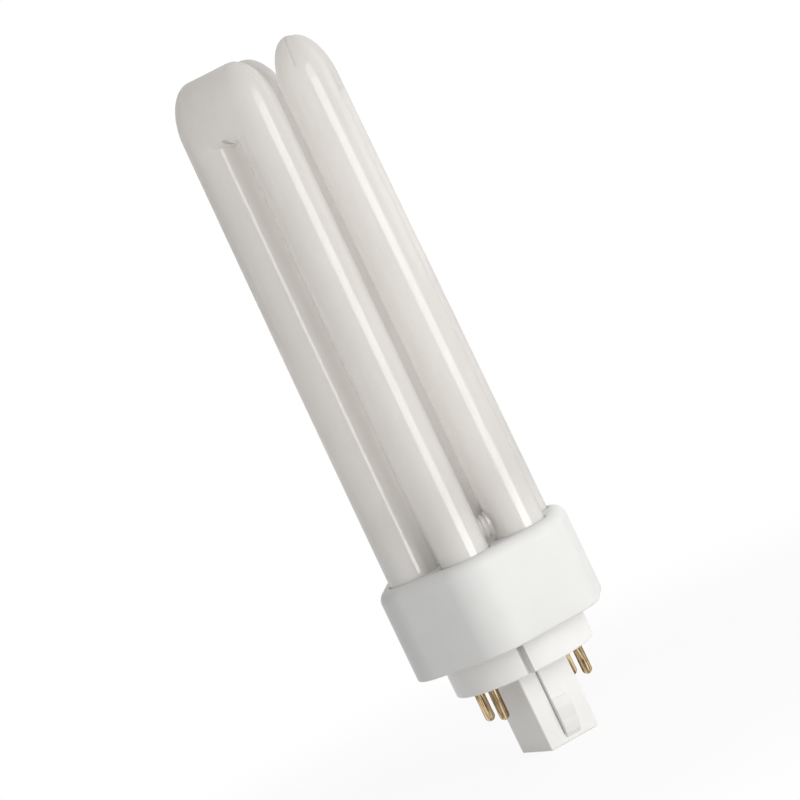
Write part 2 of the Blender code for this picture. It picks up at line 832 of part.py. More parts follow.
def main():
    clear_scene()
    parts = new_collection("four_pin_compact_fluorescent_lamp")
    cutters = new_collection("cutters")
    holes = leg_holes(cutters)
    build_discharge_tube(parts, cutters)
    build_collar(parts, cutters, holes)
    build_tube_cement(parts, holes)
    build_base_cap(parts, cutters)
    build_contact_pins(parts)
    build_lead_wires(parts)


main()
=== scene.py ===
"""Looks of the four pin compact fluorescent lamp: refined meshes, finishes, studio and camera.

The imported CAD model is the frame. Each sub-assembly builds the pieces that stand for its CAD nodes,
in metres and in the frame's own place, and dresses them in procedural finishes.
"""

import logging
import math
from collections.abc import Sequence
from dataclasses import dataclass, field, replace
from enum import Enum

import bmesh
import bpy
from mathutils import Matrix, Vector


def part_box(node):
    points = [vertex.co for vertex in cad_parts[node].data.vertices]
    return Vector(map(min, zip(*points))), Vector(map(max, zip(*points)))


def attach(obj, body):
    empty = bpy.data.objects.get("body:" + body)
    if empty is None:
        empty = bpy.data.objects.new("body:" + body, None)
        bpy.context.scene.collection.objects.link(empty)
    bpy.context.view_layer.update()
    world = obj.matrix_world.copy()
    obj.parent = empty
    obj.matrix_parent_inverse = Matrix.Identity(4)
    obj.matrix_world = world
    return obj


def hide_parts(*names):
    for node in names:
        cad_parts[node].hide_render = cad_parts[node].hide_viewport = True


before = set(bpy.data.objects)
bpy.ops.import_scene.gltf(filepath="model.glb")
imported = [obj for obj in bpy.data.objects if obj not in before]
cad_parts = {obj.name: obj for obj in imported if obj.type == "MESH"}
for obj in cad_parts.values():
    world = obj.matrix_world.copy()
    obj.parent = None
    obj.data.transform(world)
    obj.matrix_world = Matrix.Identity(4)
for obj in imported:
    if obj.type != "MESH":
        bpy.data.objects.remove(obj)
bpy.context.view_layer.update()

MM = 0.001
BODY = "root"
PHOTO_PIXELS = 800
COS_30 = math.cos(math.radians(30.0))
UP = Vector((0.0, 0.0, 1.0))
LOG = logging.getLogger("four_pin_lamp")

Colour = tuple[float, float, float]
Point = tuple[float, float, float]
Flat = tuple[float, float]
Ring = list[Vector]


class Slot(Enum):
    """The record's material slots that the new pieces belong to."""

    GLASS = "milky_glass"
    COLLAR = "collar_plastic"
    BASE = "base_plastic"
    PIN = "pin_brass"


class LegEnd(Enum):
    """How a glass leg is closed inside the collar."""

    DOME = "dome"
    SEAL = "seal"


class Signal:
    """A node's output that takes part in Python arithmetic: each operator adds a Math node."""

    def __init__(self, bench: "NodeBench", socket: bpy.types.NodeSocket) -> None:
        """Wraps an output socket of a bench's tree."""
        self.bench = bench
        self.socket = socket

    def __add__(self, other: "Signal | float") -> "Signal":
        """The sum of two values."""
        return self.bench.maths("ADD", self, other)

    def __radd__(self, other: float) -> "Signal":
        """The sum, where the number comes first."""
        return self.bench.maths("ADD", other, self)

    def __sub__(self, other: "Signal | float") -> "Signal":
        """The difference of two values."""
        return self.bench.maths("SUBTRACT", self, other)

    def __rsub__(self, other: float) -> "Signal":
        """The difference, where the number comes first."""
        return self.bench.maths("SUBTRACT", other, self)

    def __mul__(self, other: "Signal | float") -> "Signal":
        """The product of two values."""
        return self.bench.maths("MULTIPLY", self, other)

    def __rmul__(self, other: float) -> "Signal":
        """The product, where the number comes first."""
        return self.bench.maths("MULTIPLY", other, self)


class NodeBench:
    """The nodes of one material or world."""

    def __init__(self, tree: bpy.types.NodeTree) -> None:
        """Empties the tree of a material or a world."""
        self.tree = tree
        tree.nodes.clear()

    def add(
        self,
        kind: str,
        settings: dict | None = None,
        inputs: dict | None = None,
        output: int | str = 0,
    ) -> Signal | None:
        """Adds one node of any type.

        Args:
            kind: The node's type.
            settings: What is set on the node before its sockets.
            inputs: Values or signals, by socket name or number.
            output: The output that is handed back.

        Returns:
            The chosen output, or nothing for a node without outputs.
        """
        node = self.tree.nodes.new(kind)
        for name, value in (settings or {}).items():
            setattr(node, name, value)
        for key, value in (inputs or {}).items():
            socket = node.inputs[key]
            if isinstance(value, Signal):
                self.tree.links.new(value.socket, socket)
            elif isinstance(value, tuple) and socket.type == "RGBA":
                socket.default_value = (*value, 1.0)
            else:
                socket.default_value = value
        return Signal(self, node.outputs[output]) if node.outputs else None

    def maths(self, operation: str, *values: "Signal | float") -> Signal:
        """A Math node's result, from its inputs in order."""
        return self.add("ShaderNodeMath", {"operation": operation}, dict(enumerate(values)))

    def measured(self, operation: str, *vectors: "Signal | Point") -> Signal:
        """A Vector Math node's single value, such as a length, from its inputs in order."""
        return self.add("ShaderNodeVectorMath", {"operation": operation}, dict(enumerate(vectors)), "Value")

    def between(self, value: Signal, low: float, high: float) -> Signal:
        """A value's smooth rise from 0 at a low level to 1 at a high one."""
        inputs = {"Value": value, "From Min": low, "From Max": high}
        return self.add("ShaderNodeMapRange", {"interpolation_type": "SMOOTHSTEP"}, inputs)

    def blend(self, share: "Signal | float", first: "Signal | Colour", second: "Signal | Colour") -> Signal:
        """A mix of two colours, by the share of the second."""
        factor, one, other, mixed = 0, 6, 7, 2
        inputs = {factor: share, one: first, other: second}
        return self.add("ShaderNodeMix", {"data_type": "RGBA"}, inputs, mixed)

    def place(self) -> Signal:
        """A point's place in the lamp's own frame, in metres."""
        return self.add("ShaderNodeTexCoord", output="Object")

    def stretched(self, place: Signal, scale: Point) -> Signal:
        """A place with each axis scaled, to draw a pattern out."""
        return self.add("ShaderNodeMapping", None, {"Vector": place, "Scale": scale})

    def height(self, place: Signal) -> Signal:
        """A place's height alone."""
        return self.add("ShaderNodeSeparateXYZ", None, {"Vector": place}, "Z")

    def noise(self, place: Signal, grain: float, detail: float = 2.0, roughness: float = 0.5) -> Signal:
        """A noise around one half, with grains of a size in metres."""
        inputs = {"Vector": place, "Scale": 1.0 / grain, "Detail": detail, "Roughness": roughness}
        return self.add("ShaderNodeTexNoise", None, inputs)

    def relief(self, height: Signal, depth: float, under: Signal | None = None) -> Signal:
        """A bump of a real depth.

        Args:
            height: The relief, from 0 to 1.
            depth: Its depth in metres.
            under: A bump that it lies over.

        Returns:
            The bent normal.
        """
        inputs = {"Strength": 1.0, "Distance": depth, "Height": height}
        if under:
            inputs["Normal"] = under
        return self.add("ShaderNodeBump", None, inputs)

    def surface(self, inputs: dict, through: Signal | None = None, share: "Signal | float" = 0.0) -> None:
        """Ends the tree in a Principled shader.

        Args:
            inputs: Values or signals by socket name.
            through: The colour of the light that comes through, for a piece that lets it through.
            share: How much of the light does.
        """
        shader = self.add("ShaderNodeBsdfPrincipled", None, inputs)
        if through:
            lit_through = self.add("ShaderNodeBsdfTranslucent", None, {"Color": through})
            shader = self.add("ShaderNodeMixShader", None, {0: share, 1: shader, 2: lit_through})
        self.add("ShaderNodeOutputMaterial", None, {"Surface": shader})


@dataclass(frozen=True)
class Finish:
    """What one material of the lamp looks like."""

    name: str

    def paint(self, bench: NodeBench) -> None:
        """Lays the finish out as nodes on a bench."""
        raise NotImplementedError

    def material(self) -> bpy.types.Material:
        """Makes the Blender material.

        Returns:
            The material, ready for a mesh.
        """
        made = bpy.data.materials.new(self.name)
        made.use_nodes = True
        self.paint(NodeBench(made.node_tree))
        return made


@dataclass(frozen=True)
class MilkyGlass(Finish):
    """Clear drawn glass over a slightly uneven milky powder, which lets about half the light through.

    The glass is darker at the fused necks, where the powder is thin and painted shade between the legs is
    added, and in the pinched creases, which carry painted shade; it is also darker along each bend's crest
    line. Its rims carry painted shade where the glass is seen edge-on, and less light goes through at the
    legs' feet, which paints light onto their fronts.
    """

    name: str = "milky_coated_glass"
    milky: Colour = (0.935, 0.92, 0.90)
    thin: Colour = (0.90, 0.885, 0.86)
    # Tint of the painted rim shade.
    wall: Colour = (0.74, 0.73, 0.71)
    # The darker colour of thin powder, of painted shade and of the crest lines.
    thin_powder_and_shade: Colour = (0.50, 0.46, 0.43)
    cloud: float = 9.0 * MM
    cloud_reach: float = 0.25
    speck: float = 0.7 * MM
    speck_share: float = 0.25
    mottle: Flat = (0.38, 0.62)
    gloss: float = 0.30
    gloss_loss: float = 0.08
    rim: Flat = (0.62, 0.90)
    rim_loss: float = 0.35
    coat_gloss: float = 0.035
    coat_ior: float = 1.85
    mirror: float = 0.25
    thin_and_shaded_spots: tuple = ()
    seams: tuple = ()
    seam_rise: Flat = (160.6 * MM, 162.0 * MM)
    seam_line: Flat = (0.08 * MM, 0.30 * MM)
    seam_share: float = 0.25
    through: float = 0.6
    # Painted light on the legs' feet: where it fades out, and how much less light goes through there.
    painted_foot_light_rise: Flat = (47.0 * MM, 64.0 * MM)
    painted_foot_light: float = 0.27

    def paint(self, bench: NodeBench) -> None:
        """Lays out the powder's clouds, the thin powder and painted shade at the necks, the painted shade in
        the creases, the darker crest lines, the painted rim shade where the glass is seen edge-on, and the
        painted light at the legs' feet.

        Args:
            bench: The bench of the material.
        """
        place = bench.place()
        height = bench.height(place)
        drawn = bench.stretched(place, (1.0, 1.0, self.cloud_reach))
        clouds = bench.noise(drawn, self.cloud, detail=3.0, roughness=0.55)
        specks = bench.noise(place, self.speck, roughness=0.6)
        powder = clouds * (1.0 - self.speck_share) + specks * self.speck_share
        coating = bench.between(powder, *self.mottle)
        # Painted rim shade: where the surface is seen edge-on, the colour turns to the darker wall tint and
        # the coat weakens.
        facing = bench.add("ShaderNodeLayerWeight", None, {"Blend": 0.5}, "Facing")
        rim = bench.between(facing, *self.rim)
        milk = bench.blend(coating, self.milky, self.thin)
        # Thin powder with painted shade between the legs at the necks, and painted shade in the pinched
        # creases.
        for spot, core, edge, share in self.thin_and_shaded_spots:
            near = 1.0 - bench.between(bench.measured("DISTANCE", place, spot), core, edge)
            milk = bench.blend(near * share, milk, self.thin_powder_and_shade)
        # Darker along each bend's crest line, over its pressed groove.
        risen = bench.between(height, *self.seam_rise)
        for out, distance in self.seams:
            off = bench.maths("ABSOLUTE", bench.measured("DOT_PRODUCT", place, out) - distance)
            line = (1.0 - bench.between(off, *self.seam_line)) * risen
            milk = bench.blend(line * self.seam_share, milk, self.thin_powder_and_shade)
        # Painted light: less light goes through near the legs' feet, so their fronts show brighter.
        foot = 1.0 - bench.between(height, *self.painted_foot_light_rise)
        bench.surface(
            {
                "Base Color": bench.blend(rim, milk, self.wall),
                "Roughness": self.gloss + coating * self.gloss_loss,
                "Coat Weight": 1.0 - rim * self.rim_loss,
                "Coat Roughness": self.coat_gloss,
                "Coat IOR": self.coat_ior,
                "Specular IOR Level": self.mirror,
            },
            through=milk,
            share=self.through - foot * self.painted_foot_light,
        )


@dataclass(frozen=True)
class MouldedPlastic(Finish):
    """White moulded plastic with a fine spark-eroded grain and slight flow clouds."""

    name: str = "moulded_plastic"
    colour: Colour = (0.79, 0.788, 0.773)
    shade: Colour = (0.763, 0.761, 0.744)
    gloss: float = 0.42
    gloss_spread: float = 0.08
    grain: float = 0.35 * MM
    grain_depth: float = 0.004 * MM
    cloud: float = 14.0 * MM
    cloud_levels: Flat = (0.35, 0.7)
    swell_depth: float = 0.03 * MM
    ior: float = 1.49
    mirror: float = 0.3

    def paint(self, bench: NodeBench) -> None:
        """Lays out the grain, the flow clouds and a faint unevenness of the faces.

        Args:
            bench: The bench of the material.
        """
        place = bench.place()
        clouds = bench.noise(place, self.cloud, detail=4.0, roughness=0.55)
        grain = bench.noise(place, self.grain, detail=3.0, roughness=0.6)
        swell = bench.relief(clouds, self.swell_depth)
        flow = bench.between(clouds, *self.cloud_levels)
        bench.surface(
            {
                "Base Color": bench.blend(flow, self.colour, self.shade),
                "Roughness": self.gloss + (grain - 0.5) * self.gloss_spread,
                "Normal": bench.relief(grain, self.grain_depth, swell),
                "IOR": self.ior,
                "Specular IOR Level": self.mirror,
            }
        )


@dataclass(frozen=True)
class DrawnMetal(Finish):
    """Bright metal with dark streaks along its length, which are drawing lines and painted reflections of
    dark surroundings, and tarnished patches.
    """

    name: str = "drawn_metal"
    colour: Colour = (0.76, 0.58, 0.34)
    # The dark colour of the painted reflection streaks and of the tarnished patches.
    dark_reflection_and_tarnish: Colour = (0.10, 0.06, 0.03)
    gloss: float = 0.2
    patch_gloss: float = 0.12
    line_gloss: float = 0.06
    line: float = 0.55 * MM
    line_levels: Flat = (0.42, 0.55)
    line_share: float = 0.8
    line_depth: float = 0.003 * MM
    reach: float = 0.05
    patch: float = 1.8 * MM
    patch_levels: Flat = (0.45, 0.75)

    def paint(self, bench: NodeBench) -> None:
        """Lays out the streaks, partly painted dark reflections, and the patches.

        Args:
            bench: The bench of the material.
        """
        place = bench.place()
        drawn = bench.stretched(place, (1.0, 1.0, self.reach))
        lines = bench.noise(drawn, self.line, detail=3.0, roughness=0.6)
        dark = bench.between(lines, *self.line_levels)
        patches = bench.noise(place, self.patch, detail=3.0, roughness=0.6)
        patches = bench.between(patches, *self.patch_levels)
        # Painted reflection: the dark streaks stand for dark surroundings mirrored in the metal, over drawing
        # lines; the patches are tarnished.
        reflection_streaks_and_patches = dark * self.line_share + patches * (1.0 - self.line_share)
        bench.surface(
            {
                "Base Color": bench.blend(reflection_streaks_and_patches, self.colour, self.dark_reflection_and_tarnish),
                "Metallic": 1.0,
                "Roughness": self.gloss + patches * self.patch_gloss + lines * self.line_gloss,
                "Normal": bench.relief(lines, self.line_depth),
            }
        )


@dataclass(frozen=True)
class CastCement(Finish):
    """Dull cream cement with sand and pores."""

    name: str = "cast_cement"
    colour: Colour = (0.66, 0.62, 0.52)
    sand: Colour = (0.50, 0.45, 0.36)
    grain: float = 0.5 * MM
    grain_levels: Flat = (0.45, 0.7)
    grain_depth: float = 0.05 * MM
    gloss: float = 0.82
    gloss_spread: float = 0.12

    def paint(self, bench: NodeBench) -> None:
        """Lays out the sand and its relief.

        Args:
            bench: The bench of the material.
        """
        sand = bench.noise(bench.place(), self.grain, detail=4.0, roughness=0.7)
        grains = bench.between(sand, *self.grain_levels)
        bench.surface(
            {
                "Base Color": bench.blend(grains, self.colour, self.sand),
                "Roughness": self.gloss + sand * self.gloss_spread,
                "Normal": bench.relief(sand, self.grain_depth),
            }
        )


@dataclass(frozen=True)
class StudioFloor(Finish):
    """A white floor that shows as plain white and keeps the lamp's soft shadow near its foot."""

    name: str = "studio_floor"
    colour: Colour = (0.86, 0.86, 0.86)
    weave: Colour = (0.7, 0.7, 0.7)
    weave_share: float = 0.04
    weave_size: float = 2.0 * MM
    glow: float = 0.9
    reach: Flat = (0.06, 0.22)

    def paint(self, bench: NodeBench) -> None:
        """Mixes a matte floor with plain white, for what the camera and reflections see.

        Args:
            bench: The bench of the material.
        """
        place = bench.place()
        away = bench.between(bench.measured("LENGTH", place), *self.reach)
        glow = self.glow + away * (1.0 - self.glow)
        weave = bench.noise(place, self.weave_size) * self.weave_share
        tint = bench.blend(weave, self.colour, self.weave)
        matte = bench.add("ShaderNodeBsdfDiffuse", None, {"Color": tint})
        white = bench.add("ShaderNodeEmission", None, {"Color": (1.0, 1.0, 1.0), "Strength": 1.0})
        mixed = bench.add("ShaderNodeMixShader", None, {0: seen_directly(bench) * glow, 1: matte, 2: white})
        bench.add("ShaderNodeOutputMaterial", None, {"Surface": mixed})


def seen_directly(bench: NodeBench) -> Signal:
    """1 for what the camera sees itself, in a reflection or through glass, and else 0.

    Args:
        bench: The bench to work on.

    Returns:
        The mask.
    """
    path = bench.add("ShaderNodeLightPath", output="Is Camera Ray")
    outputs = path.socket.node.outputs
    glossy = Signal(bench, outputs["Is Glossy Ray"])
    through = Signal(bench, outputs["Is Transmission Ray"])
    return bench.maths("MAXIMUM", bench.maths("MAXIMUM", path, glossy), through)


def piece_from(name: str, bm: bmesh.types.BMesh) -> bpy.types.Object:
    """Turns a bmesh into an object of the scene.

    Args:
        name: The object's name.
        bm: The bmesh, which is freed.

    Returns:
        The object, with its faces pointing out.
    """
    bmesh.ops.recalc_face_normals(bm, faces=bm.faces)
    mesh = bpy.data.meshes.new(name)
    bm.to_mesh(mesh)
    bm.free()
    piece = bpy.data.objects.new(name, mesh)
    bpy.context.scene.collection.objects.link(piece)
    return piece


def bridge(bm: bmesh.types.BMesh, lower: Sequence, upper: Sequence, closed: bool = True) -> None:
    """Joins two rows of as many vertices by faces.

    Args:
        bm: The bmesh that they are in.
        lower: The first row.
        upper: The second row.
        closed: Whether the rows run right round.
    """
    count = len(lower)
    for i in range(count if closed else count - 1):
        j = (i + 1) % count
        bm.faces.new((lower[i], lower[j], upper[j], upper[i]))


def lofted(name: str, rings: Sequence[Ring]) -> bpy.types.Object:
    """A closed body through rings of as many points, from its foot to its head.

    Args:
        name: The object's name.
        rings: The rings.

    Returns:
        The object.
    """
    bm = bmesh.new()
    rows = [[bm.verts.new(point) for point in ring] for ring in rings]
    for lower, upper in zip(rows, rows[1:]):
        bridge(bm, lower, upper)
    bm.faces.new(rows[0])
    bm.faces.new(rows[-1])
    return piece_from(name, bm)


def heading(degrees: float) -> Vector:
    """The level direction at a bearing, counted from +X towards +Y."""
    return Vector((math.cos(math.radians(degrees)), math.sin(math.radians(degrees)), 0.0))


def shares(steps: int) -> list[float]:
    """Even steps from 0 to 1, both included."""
    return [step / steps for step in range(steps + 1)]


def smooth(share: float) -> float:
    """A rise from 0 to 1 that starts and ends gently."""
    return share * share * (3.0 - 2.0 * share)


def arc(middle: Flat, radius: float, start: float, end: float, steps: int) -> list[Flat]:
    """Points of an arc in a profile.

    Args:
        middle: The arc's centre.
        radius: Its radius.
        start: Its first angle in degrees.
        end: Its last angle in degrees.
        steps: How many parts it has.

    Returns:
        The points, both ends included.
    """
    angles = [math.radians(start + (end - start) * share) for share in shares(steps)]
    return [(middle[0] + radius * math.cos(a), middle[1] + radius * math.sin(a)) for a in angles]


def evenly_spaced(outline: Sequence[Flat], parts: int) -> list[Flat]:
    """Points at even steps along an outline.

    Args:
        outline: The outline's own points.
        parts: How many steps there are.

    Returns:
        One more point than there are steps.
    """
    lengths = [0.0]
    for (ax, ay), (bx, by) in zip(outline, outline[1:]):
        lengths.append(lengths[-1] + math.hypot(bx - ax, by - ay))
    points = []
    i = 0
    for step in range(parts + 1):
        wanted = lengths[-1] * step / parts
        while i < len(lengths) - 2 and lengths[i + 1] < wanted:
            i += 1
        span = lengths[i + 1] - lengths[i]
        share = min((wanted - lengths[i]) / span, 1.0) if span > 0 else 0.0
        (ax, ay), (bx, by) = outline[i], outline[i + 1]
        points.append((ax + (bx - ax) * share, ay + (by - ay) * share))
    return points


def turned(name: str, profile: Sequence[Flat], sides: int, middle: Flat = (0.0, 0.0)) -> bpy.types.Object:
    """A turned body.

    Args:
        name: The object's name.
        profile: Pairs of radius and height, from the foot's middle to the head's middle.
        sides: How many sides it has.
        middle: Where its axis stands.

    Returns:
        The object.
    """
    bm = bmesh.new()
    x, y = middle
    turns = [2 * math.pi * i / sides for i in range(sides)]
    rows = []
    for radius, height in profile:
        angles = turns if radius > 0 else [0.0]
        ring = [(x + radius * math.cos(a), y + radius * math.sin(a), height) for a in angles]
        rows.append([bm.verts.new(point) for point in ring])
    for lower, upper in zip(rows, rows[1:]):
        if len(lower) == len(upper):
            bridge(bm, lower, upper)
            continue
        (tip,), ring = (lower, upper) if len(lower) == 1 else (upper, lower)
        for i in range(sides):
            bm.faces.new((tip, ring[i], ring[(i + 1) % sides]))
    return piece_from(name, bm)


def rounded_box(
    name: str, size: Point, middle: Point, edge: float = 0.0, slim: float = 0.0
) -> bpy.types.Object:
    """A box, which may have rounded edges and be slimmer at its foot.

    Args:
        name: The object's name.
        size: Its width, depth and height.
        middle: Its centre.
        edge: The radius of its edges.
        slim: How far each side draws in towards the foot.

    Returns:
        The object.
    """
    bm = bmesh.new()
    bmesh.ops.create_cube(bm, size=1.0)
    for vert in bm.verts:
        draw = slim if vert.co.z < 0 else 0.0
        width, depth, height = size[0] - 2 * draw, size[1] - 2 * draw, size[2]
        vert.co = Vector((vert.co.x * width, vert.co.y * depth, vert.co.z * height))
    if edge > 0:
        round_edges(bm, edge, steps=4)
    bmesh.ops.translate(bm, vec=middle, verts=bm.verts)
    return piece_from(name, bm)


def round_edges(bm: bmesh.types.BMesh, radius: float, steps: int) -> None:
    """Rounds all the edges of a body."""
    options = {"affect": "EDGES", "offset_type": "OFFSET", "profile": 0.5}
    bmesh.ops.bevel(bm, geom=bm.edges[:], offset=radius, segments=steps, **options)


def ball(name: str, place: Matrix, half: Point) -> bpy.types.Object:
    """A stretched ball.

    Args:
        name: The object's name.
        place: Its own frame.
        half: Half its size along each of its axes.

    Returns:
        The object.
    """
    bm = bmesh.new()
    bmesh.ops.create_uvsphere(bm, u_segments=32, v_segments=20, radius=1.0)
    bmesh.ops.transform(bm, matrix=place @ Matrix.Diagonal((*half, 1.0)), verts=bm.verts)
    return piece_from(name, bm)


def side_profile(
    name: str, outline: Sequence[Flat], width: float, middle: float, side: float, edge: float
) -> bpy.types.Object:
    """A side view of depth and height, drawn out to a width, with rounded edges.

    Args:
        name: The object's name.
        outline: Pairs of depth and height.
        width: How wide it is.
        middle: How far its middle lies to the right, as seen from its own side.
        side: -1 for the lamp's front, 1 for its rear.
        edge: The radius of its edges.

    Returns:
        The object.
    """
    bm = bmesh.new()
    left = -side * middle - width / 2
    face = bm.faces.new([bm.verts.new((left, side * depth, height)) for depth, height in outline])
    grown = bmesh.ops.extrude_face_region(bm, geom=[face])
    moved = [item for item in grown["geom"] if isinstance(item, bmesh.types.BMVert)]
    bmesh.ops.translate(bm, vec=(width, 0.0, 0.0), verts=moved)
    round_edges(bm, edge, steps=3)
    return piece_from(name, bm)


def corner_within(reach: Vector) -> float:
    """The corner radius with which a hexagon meets its box, given the box's highest corner."""
    return (reach.y / COS_30 - reach.x) / (1.0 / COS_30 - 1.0)


def six_sided_ring(apothem: float, corner: float, height: float, steps: int) -> Ring:
    """The outline of a hexagon with rounded corners, one of them on +X.

    Args:
        apothem: The distance of its flats from the axis.
        corner: The radius of its corners.
        height: Where it lies.
        steps: How many parts a corner has.

    Returns:
        Its points.
    """
    ring = []
    for turn in range(0, 360, 60):
        middle = heading(turn) * ((apothem - corner) / COS_30)
        points = arc((middle.x, middle.y), corner, turn - 30.0, turn + 30.0, steps)
        ring += [Vector((x, y, height)) for x, y in points]
    return ring


def six_sided_body(
    name: str, apothem: float, corner: float, profile: Sequence[Flat], steps: int = 14
) -> bpy.types.Object:
    """A six-sided body whose section shrinks evenly.

    Args:
        name: The object's name.
        apothem: The distance of its flats from the axis, at its widest.
        corner: The radius of its corners there.
        profile: Pairs of inset and height, from its foot to its head.
        steps: How many parts a corner has.

    Returns:
        The object.
    """
    rings = [six_sided_ring(apothem - inset, corner - inset, height, steps) for inset, height in profile]
    return lofted(name, rings)


def cut(piece: bpy.types.Object, others: Sequence[bpy.types.Object], operation: str) -> None:
    """Joins or cuts a piece by others, which are then gone.

    Args:
        piece: The piece that changes.
        others: What joins or cuts it.
        operation: UNION or DIFFERENCE.
    """
    for other in others:
        step = piece.modifiers.new(other.name, "BOOLEAN")
        step.operation = operation
        step.solver = "EXACT"
        step.object = other
        bpy.context.view_layer.update()
        settle(piece)
        bpy.data.objects.remove(other, do_unlink=True)


def settle(piece: bpy.types.Object) -> None:
    """Applies a piece's modifiers to its mesh.

    Args:
        piece: The piece.
    """
    graph = bpy.context.evaluated_depsgraph_get()
    made = bpy.data.meshes.new_from_object(piece.evaluated_get(graph))
    piece.modifiers.clear()
    piece.data = made


def shade(piece: bpy.types.Object, degrees: float) -> None:
    """Shades a piece smooth, but for edges sharper than an angle.

    Args:
        piece: The piece.
        degrees: The angle.
    """
    piece.data.shade_smooth()
    piece.data.set_sharp_from_angle(angle=math.radians(degrees))
    step = piece.modifiers.new("weighted normals", "WEIGHTED_NORMAL")
    step.keep_sharp = True


@dataclass
class SubAssembly:
    """A group of the lamp's pieces."""

    def dress(
        self, piece: bpy.types.Object, finish: Finish, slot: Slot, nodes: Sequence[str]
    ) -> bpy.types.Object:
        """Gives a piece its finish and its place in the frame.

        Args:
            piece: The piece.
            finish: Its finish.
            slot: The record's slot that the finish belongs to; not used.
            nodes: The CAD nodes that it stands for.

        Returns:
            The piece.
        """
        piece.data.materials.clear()
        piece.data.materials.append(finish.material())
        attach(piece, BODY)
        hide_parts(*nodes)
        return piece

    def build(self) -> list[bpy.types.Object]:
        """Builds and dresses the group's pieces."""
        raise NotImplementedError


@dataclass(frozen=True)
class Bend:
    """One bent tube: the way it faces in degrees, how far its top leans in, and how its two legs end."""

    direction: float
    lean: float
    ends: tuple[LegEnd, LegEnd]


